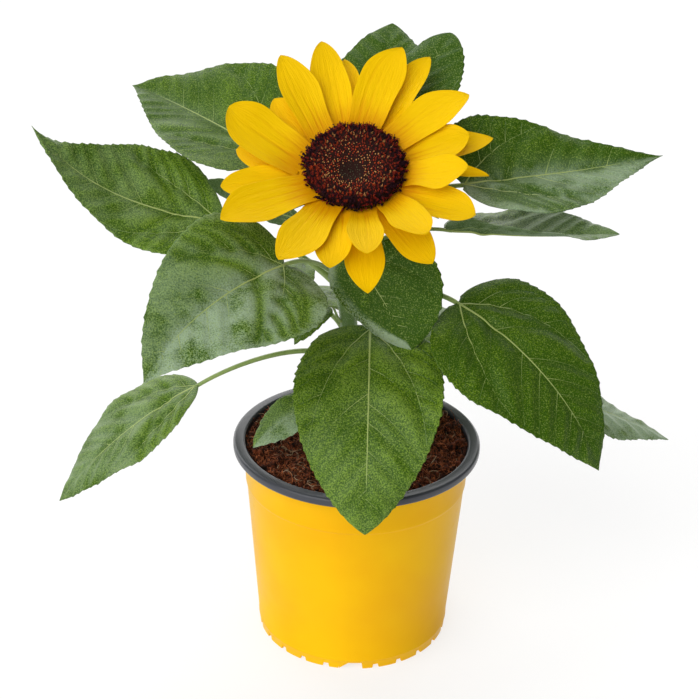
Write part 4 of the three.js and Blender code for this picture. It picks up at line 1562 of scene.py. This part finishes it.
    def add_vein(self, shape: Shape, vein: VeinCourse) -> None:
        """Adds a vein as a fine limb that stands a little above the blade and more below it."""
        stand = 0.02 + 0.45 * vein.radius * np.clip(vein.pale, 0.0, 1.0)
        sink = vein.radius - self.thickness / 2.0 - stand
        lift = self.lift(vein.share, vein.across)
        add_tube(shape, self.surface(vein.share, vein.across, lift - sink), vein.radius, 5, 2,
                 pale=vein.pale)

    def stalk_line(self) -> tuple[Array, Array]:
        """Centres and radii of the stalk, and of the midrib that it goes on as."""
        plan = self.plan
        radius = max(plan.length * 0.017, 0.8)
        centre, stem_radius = self.stem.at(plan.height)
        base = around(*plan.at)
        outward = (base - centre) * (1.0 - UP)
        outward /= np.linalg.norm(outward)
        start = centre + outward * (stem_radius + 0.3 + 0.72 * radius)
        pull = 0.3 * np.linalg.norm(start - base)
        leave = outward * 0.75 + UP * 0.66
        forward = direction(self.bearing(0.0), self.pitch(0.0))
        share = np.linspace(0.0, 1.0, self.stalk_rows)[:-1]
        solid_depth = plan.length * 0.012 / 3.0
        ending = self.surface(np.zeros(1), np.zeros(1), -solid_depth)[0]
        handles = (start, start + leave * pull, base - forward * pull, ending)
        curve = sum(np.outer(math.comb(3, k) * share ** k * (1.0 - share) ** (3 - k), handle)
                    for k, handle in enumerate(handles))
        root = np.array([centre + outward * stem_radius * out - UP * down * radius
                         for out, down in self.root])
        sizes = self.slimness * radius * blend(1.15, 0.80, share) * (1.0 + 0.4 * np.exp(-share * 14.0))
        rib_share = np.linspace(0.0, 0.985, self.rib_rows)
        middle = np.zeros(self.rib_rows)
        rib_size = np.maximum(self.slimness * radius * 0.80 * (1.0 - rib_share) ** 0.9, 0.25)
        stand = 0.05 + 0.20 * rib_size
        sink = np.maximum(rib_size - self.thickness / 2.0 - stand, 0.0) * smooth(-0.06, 0.02, rib_share)
        rib = self.surface(rib_share, middle, self.lift(rib_share, middle) - sink)
        centres = np.concatenate([root, curve[1:], rib])
        radii = np.concatenate([[radius * 1.6, radius * 1.55], sizes[1:], rib_size])
        return centres, radii

    def build(self) -> bpy.types.Object:
        """Makes the leaf and hands it over."""
        shape = Shape()
        self.add_blade(shape)
        for vein in self.veins:
            self.add_vein(shape, vein)
        centres, radii = self.stalk_line()
        rows = self.stalk_rows
        add_tube(shape, centres[:rows + 3], radii[:rows + 3], 12, 3, (6, 0.04), pale=0.9)
        add_tube(shape, centres[rows:], radii[rows:], 8, 2,
                 pale=np.linspace(1.0, 0.55, len(centres) - rows))
        finishes = [Greens.UPPER, Greens.LOWER, Greens.VEIN, Greens.STALK]
        return hand_over(shape.mesh(self.plan.node + "_blade", finishes), "leaves", self.plan.node)


@dataclass(frozen=True)
class PetalPlan:
    """A ray petal's place and size, as in its solid, and how its tip and its cross-section differ."""

    turn: float
    swing: float
    length: float
    width: float
    lift: float
    lean: float = 0.0
    tip: float = 0.75
    cupping: float = 0.14


@dataclass(frozen=True)
class PetalTier:
    """Petals at one depth behind the disc's rim."""

    depth: float
    petals: tuple[PetalPlan, ...]


TIERS = (
    PetalTier(1.4, (
        PetalPlan(130, -14, 46, 19, 12, lean=1.5), PetalPlan(171, -20, 42, 27, 15, lean=-3.0, tip=0.6),
        PetalPlan(210, -1, 48, 22, 12, lean=3.0), PetalPlan(239, 7, 44.5, 21, 15, lean=-3.0),
        PetalPlan(280, -6, 40, 17, 28), PetalPlan(312, -9, 33.5, 19, 23),
        PetalPlan(353, -3, 30.5, 19, 22, lean=2.5),
        PetalPlan(42, -4, 42.5, 20, 12, lean=-4.5), PetalPlan(81, -8, 46, 22, 11, lean=-4.5))),
    PetalTier(2.8, (
        PetalPlan(108, -6, 51, 19, 6), PetalPlan(199, -12, 39, 20, 4, tip=0.7),
        PetalPlan(252, 15, 37, 18, 13), PetalPlan(329, 15, 37, 21, 6, lean=-3.0),
        PetalPlan(21, -4, 33, 21, 10), PetalPlan(64, 1, 51, 16, 4, lean=-3.5))),
    PetalTier(4.2, (
        PetalPlan(98, -4, 44.5, 16, -2), PetalPlan(142, -15, 33, 18, 0), PetalPlan(173, -7, 33, 20, 0),
        PetalPlan(277, -1, 44, 19, 1, tip=0.8), PetalPlan(304, 5, 37, 19, -3),
        PetalPlan(10, -13, 40, 7, -6, cupping=0.7), PetalPlan(25, -8, 46, 15, -4, tip=0.85),
        PetalPlan(40, -8, 36, 8, 5, cupping=0.8), PetalPlan(55, -3, 30, 7, 0, cupping=0.8))),
)


@dataclass
class RayPetal:
    """One ray petal: a thin ribbed sheet with a pointed tip."""

    plan: PetalPlan
    depth: float
    number: int
    place: BloomPlace
    seat: float = 25.5
    seat_shift: float = 0.75
    tuck: float = 4.5
    base_share: float = 0.74
    widest: float = 0.52
    closing_start: float = 0.50
    closing_power: float = 2.3
    edge_wave: float = 0.04
    thickness: float = 0.35
    groove: float = 0.26
    rib: float = 0.040
    rows: int = 52
    columns: int = 49
    middles: tuple[float, ...] = (-0.42, 0.0, 0.40)
    first_seed: int = 100
    tone_step: float = 0.11
    finish: Finish = PetalFinish("ray_petal", 0.5)

    def half_width(self, share: Array) -> Array:
        """Half the petal's width: narrow at its seat, pointed at its tip."""
        opening = self.base_share + (1.0 - self.base_share) * smooth(-0.1, self.widest, share)
        past = np.maximum(0.0, share - self.closing_start) / (1.0 - self.closing_start)
        closing = np.maximum(1.0 - past ** self.closing_power, 0.0) ** self.plan.tip
        return self.plan.width / 2.0 * opening * closing

    def grooves(self, share: Array, across: Array, random: np.random.Generator) -> Array:
        """How deep the grooves are, from 0 to 1: a few that start at the root and fade out."""
        depth = np.zeros(share.shape)
        for middle in np.array(self.middles) + random.uniform(-0.12, 0.12, len(self.middles)):
            width, end, strength = random.uniform((0.035, 0.55, 0.3), (0.060, 1.00, 0.85))
            line = strength * np.exp(-((across - middle) / width) ** 2)
            depth = np.maximum(depth, line * smooth(end, end - 0.4, share) * smooth(-0.1, 0.15, share))
        return depth

    def relief(self, share: Array, across: Array, random: np.random.Generator) -> Array:
        """Fine ribs along the petal, with a little waviness."""
        fade = smooth(-0.05, 0.2, share) * smooth(1.02, 0.7, share)
        fine = self.rib * np.cos(across * random.uniform(17.0, 22.0) + random.uniform(0.0, 6.0))
        first, second = random.uniform(0.0, 2.0 * math.pi, 2)
        wave = 0.7 * np.sin(share * 5.0 + first) * across + 0.4 * np.sin(share * 9.0 + second) * across ** 2
        return (fine + wave) * fade

    def build(self) -> bpy.types.Object:
        """Makes the petal and hands it over."""
        plan = self.plan
        random = np.random.default_rng(self.first_seed + self.number)
        share = np.linspace(-self.tuck / plan.length, 0.9985, self.rows)
        turn = np.linspace(-math.pi / 2.0, math.pi / 2.0, self.columns)
        across = 0.4 * np.sin(turn) + 0.6 * turn * 2.0 / math.pi
        share, across = np.meshgrid(share, across, indexing="ij")
        forward, left, up = frames(plan.turn + plan.swing, plan.lift)
        half = self.half_width(share)
        grooves = self.grooves(share, across, random)
        rise = half * plan.cupping * across ** 2 + self.relief(share, across, random) - self.groove * grooves
        first, second = random.uniform(0.0, 2.0 * math.pi, 2)
        wave = np.sin(share * 10.0 + np.where(across > 0.0, first, second)) * np.abs(across)
        drift = half * across * (1.0 + self.edge_wave * wave) + plan.lean * share ** 5
        gain = self.half_width(0.0) * math.sin(math.radians(abs(plan.swing)))
        seat = self.seat + self.seat_shift * gain
        centre = around(plan.turn, seat, -self.depth) + forward * (plan.length * share)[..., None]
        middle = centre + left * drift[..., None] + up * rise[..., None]
        shape = Shape()
        # The groove value also paints the grooves deeper orange, as painted shade.
        add_thin_sheet(shape, middle, up, self.thickness * (1.0 - 0.5 * across ** 6), (share, across),
                       tone=np.full(share.shape, self.number * self.tone_step), groove=grooves)
        piece = shape.mesh(f"petal_{self.number:02d}", [self.finish])
        piece.data.transform(self.place.matrix())
        return hand_over(piece, "petals", f"ray_{self.number:02d}")


def add_height(shape: Shape, points: Sequence[Array], faces: list, top: float) -> None:
    """Adds a part of a floret, with its points' heights as a share of the floret's own."""
    points = np.concatenate(points)
    shape.add(points, faces, 0, height=np.clip(points[:, 2] / top, 0.0, 1.0))


def closed_bud(height: float, radius: float) -> Shape:
    """A pointed five-sided bud.

    Args:
        height: its height.
        radius: its radius where it is widest.

    Returns:
        The bud.
    """
    shape = Shape()
    sides = 5
    rings = [(0.75, -0.3), (1.0, 0.40), (0.62, 0.80)]
    points = [ring_points([radius * wide] * sides, height * up) for wide, up in rings]
    last, tip = (len(rings) - 1) * sides, len(rings) * sides
    faces = ring_faces(len(rings), sides, caps=False)
    faces += [(last + k, last + (k + 1) % sides, tip) for k in range(sides)]
    faces.append(tuple(range(sides))[::-1])
    add_height(shape, [*points, [[0.0, 0.0, height]]], faces, height)
    return shape


def open_floret(height: float, radius: float) -> Shape:
    """An open floret: a tube with five turned-out lobes, and a column with two curled arms.

    Args:
        height: height of the column.
        radius: reach of the lobes.

    Returns:
        The floret.
    """
    shape = Shape()
    lobes = 5
    rings = [(0.50, 0.50, -0.3), (0.62, 0.62, 0.40), (1.0, 0.55, 0.66), (0.30, 0.30, 0.55)]
    points = [ring_points([radius * lobe, radius * gap] * lobes, height * up) for lobe, gap, up in rings]
    add_height(shape, points, ring_faces(len(rings), 2 * lobes), height)
    column = np.array([[0.0, 0.0, 0.4], [0.0, 0.0, 0.85]]) * height
    add_tube(shape, column, np.array([0.24, 0.20]) * radius, 4, height=0.8)
    for side in (-1.0, 1.0):
        arm = np.array([[0.0, 0.0, 0.80], [0.35 * side, 0.0, 1.02], [0.75 * side, 0.1, 0.98],
                        [0.85 * side, 0.1, 0.78]]) * np.array([radius, radius, height])
        add_tube(shape, arm, np.array([0.16, 0.15, 0.13, 0.07]) * radius, 3, height=1.0)
    return shape


@dataclass(frozen=True)
class FloretBand:
    """Florets of one kind between two radii of the disc, and the colours dealt out to them."""

    name: str
    item: Callable[[float, float], Shape]
    height: float
    radius: float
    start: float
    end: float
    lean: float
    jitter: float
    finishes: tuple[tuple[Finish, float], ...]


@dataclass
class Disc:
    """The domed disc of the bloom: bands of florets in one spiral, on a dark base."""

    DIP = 0.50
    DIP_REACH = 0.36
    SLIP = (1.6, 5.4)
    CLUMPS = 11.0
    CLUMP_DEPTH = 0.035
    CLUMP_POWER = 8.0
    LEAN_POWER = 3.0
    RIM_POWER = 10.0
    RIM_FALL = 0.9

    place: BloomPlace
    radius: float = 24.2
    dome: float = 7.0
    sunk: float = 2.4
    spacing: float = 0.64
    base_rise: float = 1.2
    seed_step: int = 10
    base: Finish = FloretFinish("disc_base", 0.9, (0.020, 0.006, 0.004), (0.030, 0.010, 0.006))

    def height(self, share: float) -> float:
        """Height of the dome at a share of its radius."""
        dip = self.DIP * math.exp(-((share / self.DIP_REACH) ** 2))
        return self.dome * (1.0 - self.RIM_FALL * share ** self.RIM_POWER - dip)

    def slipped(self, points: Array) -> Array:
        """Moves the dome's middle down its face, like the spiral's."""
        share = np.hypot(points[..., 0], points[..., 1]) / self.radius
        slip = 1.0 - np.minimum(share, 1.0) ** 2
        points[..., 0] -= self.SLIP[0] * slip
        points[..., 1] -= self.SLIP[1] * slip
        return points

    def bands(self) -> tuple[FloretBand, ...]:
        """The bands from the middle out."""
        olive = FloretFinish("floret_olive", 0.7, (0.012, 0.011, 0.006), (0.070, 0.068, 0.036))
        shade = FloretFinish("floret_shade", 0.8, (0.010, 0.004, 0.002), (0.040, 0.014, 0.008))
        rust = FloretFinish("floret_rust", 0.75, (0.070, 0.005, 0.002), (0.580, 0.066, 0.010))
        gilt = FloretFinish("floret_gilt", 0.7, (0.060, 0.012, 0.004), (0.820, 0.400, 0.130))
        maroon = FloretFinish("floret_maroon", 0.8, (0.026, 0.003, 0.002), (0.300, 0.022, 0.012))
        violet = FloretFinish("floret_violet", 0.7, (0.010, 0.001, 0.002), (0.034, 0.005, 0.014))
        return (
            FloretBand("middle_buds", closed_bud, 1.5, 0.46, 0.0, 0.24, 0.3, 0.10,
                       ((olive, 0.55), (shade, 0.45))),
            FloretBand("ring_buds", closed_bud, 1.8, 0.38, 0.24, 0.40, 0.3, 0.25,
                       ((shade, 0.26), (gilt, 0.42), (rust, 0.18), (maroon, 0.14))),
            FloretBand("outer_buds", closed_bud, 2.0, 0.40, 0.40, 0.58, 0.3, 0.30,
                       ((shade, 0.14), (gilt, 0.22), (rust, 0.32), (maroon, 0.32))),
            FloretBand("inner_florets", open_floret, 2.5, 0.50, 0.58, 0.82, 0.35, 0.45,
                       ((maroon, 0.36), (rust, 0.26), (violet, 0.22), (gilt, 0.16))),
            FloretBand("outer_florets", open_floret, 3.3, 0.72, 0.82, 1.0, 0.6, 0.50,
                       ((maroon, 0.40), (violet, 0.54), (rust, 0.06))),
        )

    def build(self, spiral: Tree) -> None:
        """Makes the base and the bands of florets.

        Args:
            spiral: the tree that sets an item in a spiral.
        """
        shape = Shape()
        rim = [(self.radius * 0.93, -0.2), (self.radius * 0.97, 0.2)]
        tops = [(self.radius * share, self.height(share) - self.sunk + self.base_rise)
                for share in np.linspace(0.96, 0.0, 20)]
        add_turned(shape, [(0.0, -0.2), *rim, *tops], even_angles(72), 0, self.slipped)
        base = shape.mesh("disc_base_dome", [self.base])
        base.data.transform(self.place.matrix())
        hand_over(base, "disc", "bloom_disc")
        for seed, band in enumerate(self.bands()):
            self.grow_band(spiral, band, base.data, self.seed_step * seed + 1)

    def grow_band(self, spiral: Tree, band: FloretBand, carrier: bpy.types.Mesh, seed: int) -> None:
        """Grows one band, a piece for each of its colours.

        Args:
            spiral: the tree that sets an item in a spiral.
            band: the band.
            carrier: a mesh for the tree to start from.
            seed: the band's seed, the same for all its colours.
        """
        first, last = (int((edge * self.radius / self.spacing) ** 2) for edge in (band.start, band.end))
        sink = Matrix.Translation(Vector((0.0, 0.0, -self.sunk * MM)))
        dealt = 0.0
        for finish, share in band.finishes:
            item = band.item(band.height, band.radius).mesh(band.name + "_item", [finish])
            piece = spiral.grow(f"{band.name}_{finish.name}", carrier, Item=item,
                                Finish=finish.material(), Count=last - first, First=first,
                                Spacing=self.spacing * MM, Radius=self.radius * MM,
                                Height=self.dome * MM, Lean=band.lean, Jitter=band.jitter, Smallest=0.8,
                                Largest=1.2, From=dealt, To=dealt + share, Seed=seed)
            bpy.data.objects.remove(item)
            dealt += share
            piece.data.transform(self.place.matrix() @ sink)
            hand_over(piece, "disc", "bloom_disc")


def hair_item() -> Shape:
    """A stiff hair a millimetre long, with a bent tip."""
    shape = Shape()
    line = np.array([[0.0, 0.0, -0.1], [0.0, 0.0, 0.5], [0.06, 0.0, 1.0]])
    add_tube(shape, line, np.array([0.045, 0.0315, 0.00675]), 3)
    return shape


class Hairs:
    """The hairs on the green parts."""

    STEM = Cover("stem_hairs", hair_item, Greens.HAIR, 500000.0, 41, 0.8, 1.8, (0.5, 0.5, 3.0))
    BRACTS = Cover("bract_hairs", hair_item, Greens.HAIR, 330000.0, 31, 0.7, 1.6, (0.5, 0.5, 3.0))


@dataclass(frozen=True)
class BractPlan:
    """A bract's bearing in the bloom's frame, and its length."""

    turn: float
    length: float


@dataclass
class Cup:
    """The green cup behind the disc, with its pointed bracts."""

    place: BloomPlace
    radius: float = 25.0
    depth: float = 18.0
    neck: float = 5.4
    sides: int = 64
    count: int = 14
    lengths: tuple[float, ...] = (25.0, 22.0, 19.0)
    long_bracts: tuple[BractPlan, ...] = (BractPlan(226.0, 34.0), BractPlan(338.0, 27.0))
    width: float = 9.5
    droop: float = 15.0
    seat: float = 19.0
    seat_depth: float = 9.2
    row_gap: float = 1.2
    shorter: float = 0.72
    thickness: float = 0.6
    curl: float = 2.493
    hollow: float = 0.20
    keel: float = 0.35
    tone: float = 0.5
    first_seed: int = 300
    shorter_seed: int = 50

    def add_bract(self, shape: Shape, plan: BractPlan, depth: float, number: int) -> None:
        """Adds one pointed bract that curves with the cup.

        Args:
            shape: the shape that grows.
            plan: its bearing and length.
            depth: how far its seat is behind the disc's rim.
            number: its number, which seeds its small differences.
        """
        random = np.random.default_rng(self.first_seed + number)
        share, across = np.meshgrid(np.linspace(0.0, 0.998, 26), np.linspace(-1.0, 1.0, 11), indexing="ij")
        forward, left, up = frames(plan.turn, random.uniform(-4.0, 4.0) - self.droop)
        half = self.width / 2.0 * (1.0 - share) ** 0.8 * (0.75 + 0.9 * share * (1.0 - share))
        curl = self.curl * random.uniform(0.2, 1.0) * share ** 2
        keel = self.keel * np.exp(-(across / 0.14) ** 2) * (1.0 - share)
        rise = -self.hollow * half * (1.0 - across ** 2) - curl - keel
        sway = random.uniform(-1.5, 1.5) * share ** 2
        centre = around(plan.turn, self.seat, -depth) + forward * (plan.length * share)[..., None]
        middle = centre + left * (half * across + sway)[..., None] + up * rise[..., None]
        add_thin_sheet(shape, middle, up, self.thickness * (1.0 - 0.4 * across ** 4), (share, across),
                       tone=np.full(share.shape, self.tone))

    def build(self, scatter: Tree) -> None:
        """Makes the cup with its bracts, and the hairs on them.

        Args:
            scatter: the tree that spreads an item over a mesh.
        """
        shape = Shape()
        profile = [(0.0, -self.depth), (self.neck, -self.depth), (self.neck + 2.0, -self.depth + 1.5)]
        profile += [(self.radius * out, -self.depth * back) for out, back in (
            (0.45, 0.74), (0.68, 0.62), (0.90, 0.46), (0.94, 0.36), (0.88, 0.28), (0.0, 0.2))]
        add_turned(shape, profile, even_angles(self.sides), tone=self.tone)
        lengths = self.lengths * self.count
        plans = [BractPlan(360.0 * k / self.count, lengths[k]) for k in range(self.count)]
        for number, plan in enumerate([*self.long_bracts, *plans]):
            self.add_bract(shape, plan, self.seat_depth, number)
        for k in range(self.count):
            plan = BractPlan(360.0 * (k + 0.5) / self.count, lengths[k + 1] * self.shorter)
            self.add_bract(shape, plan, self.seat_depth + self.row_gap, self.shorter_seed + k)
        piece = shape.mesh("cup_and_bracts", [Greens.BRACT])
        piece.data.transform(self.place.matrix())
        hand_over(piece, "bracts", "bloom_cup")
        Hairs.BRACTS.build(scatter, piece.data, "bracts", "bloom_cup")


@dataclass(frozen=True)
class SoftLight:
    """A broad light: the direction that it comes from, its spread in degrees and its strength."""

    name: str
    source: Triple
    spread: float
    strength: float


@dataclass
class Studio:
    """Floor, lights and the camera, in metres."""

    air: float = 0.16
    lights: tuple[SoftLight, ...] = (
        SoftLight("soft_box_front", (-0.47, -0.67, 0.57), 70.0, 2.75),
        SoftLight("soft_box_back", (-0.11, 0.92, 0.40), 90.0, 3.6))
    eye: Triple = (0.0, -0.7846, 0.5530)
    aim: Triple = (-0.0049, 0.0, 0.1634)
    roll: float = 1.35
    lens: float = 87.76
    sensor: float = 36.0
    floor_reach: float = 20.0

    def build_floor(self) -> None:
        """A plain pale floor under the pot."""
        shape = Shape()
        corners = [(-1.0, -1.0, 0.0), (1.0, -1.0, 0.0), (1.0, 1.0, 0.0), (-1.0, 1.0, 0.0)]
        shape.add(np.array(corners) * self.floor_reach / MM, [(0, 1, 2, 3)])
        shape.mesh("studio_floor", [FloorFinish("floor_paint", 0.6)])

    def add_light(self, light: SoftLight) -> None:
        """Adds a broad, soft light from far off."""
        data = bpy.data.lights.new(light.name, "SUN")
        data.angle = math.radians(light.spread)
        data.energy = light.strength
        made = set_down(light.name, data)
        made.rotation_euler = Vector(light.source).to_track_quat("Z", "Y").to_euler()

    def build_lights(self) -> None:
        """Even white light from all round, and two soft lights from above."""
        world = bpy.data.worlds.new("studio_air")
        world.use_nodes = True
        background = world.node_tree.nodes["Background"]
        background.inputs["Color"].default_value = (1.0, 1.0, 1.0, 1.0)
        background.inputs["Strength"].default_value = self.air
        bpy.context.scene.world = world
        for light in self.lights:
            self.add_light(light)
        bpy.context.scene.view_settings.view_transform = "Standard"

    def build_camera(self) -> None:
        """The camera, at the photo's angle."""
        data = bpy.data.cameras.new("view")
        data.lens = self.lens
        data.sensor_width = self.sensor
        back = (Vector(self.eye) - Vector(self.aim)).normalized()
        level = back.to_track_quat("Z", "Y").to_matrix()
        turned = level @ Matrix.Rotation(math.radians(self.roll), 3, "Z")
        made = set_down("view", data)
        made.matrix_world = Matrix.Translation(self.eye) @ turned.to_4x4()
        bpy.context.scene.camera = made


def main() -> None:
    """Builds the plant and its studio."""
    logging.basicConfig(level=logging.INFO, format="%(message)s", stream=sys.stdout)
    studio = Studio()
    studio.build_camera()
    studio.build_floor()
    studio.build_lights()
    scatter = scatter_tree()
    place = BloomPlace()
    pot = Pot()
    pot.build()
    Soil(pot).build(scatter)
    stem = Stem(place)
    trunk = stem.build([plan.height for plan in LEAVES])
    Hairs.STEM.build(scatter, trunk.data, "stem", "stem")
    for plan in LEAVES:
        Leaf(plan, stem).build()
    Disc(place).build(spiral_tree())
    Cup(place).build(scatter)
    petals = [(plan, tier.depth) for tier in TIERS for plan in tier.petals]
    for number, (plan, depth) in enumerate(petals, 1):
        RayPetal(plan, depth, number, place).build()
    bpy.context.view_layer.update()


if __name__ == "__main__":
    main()
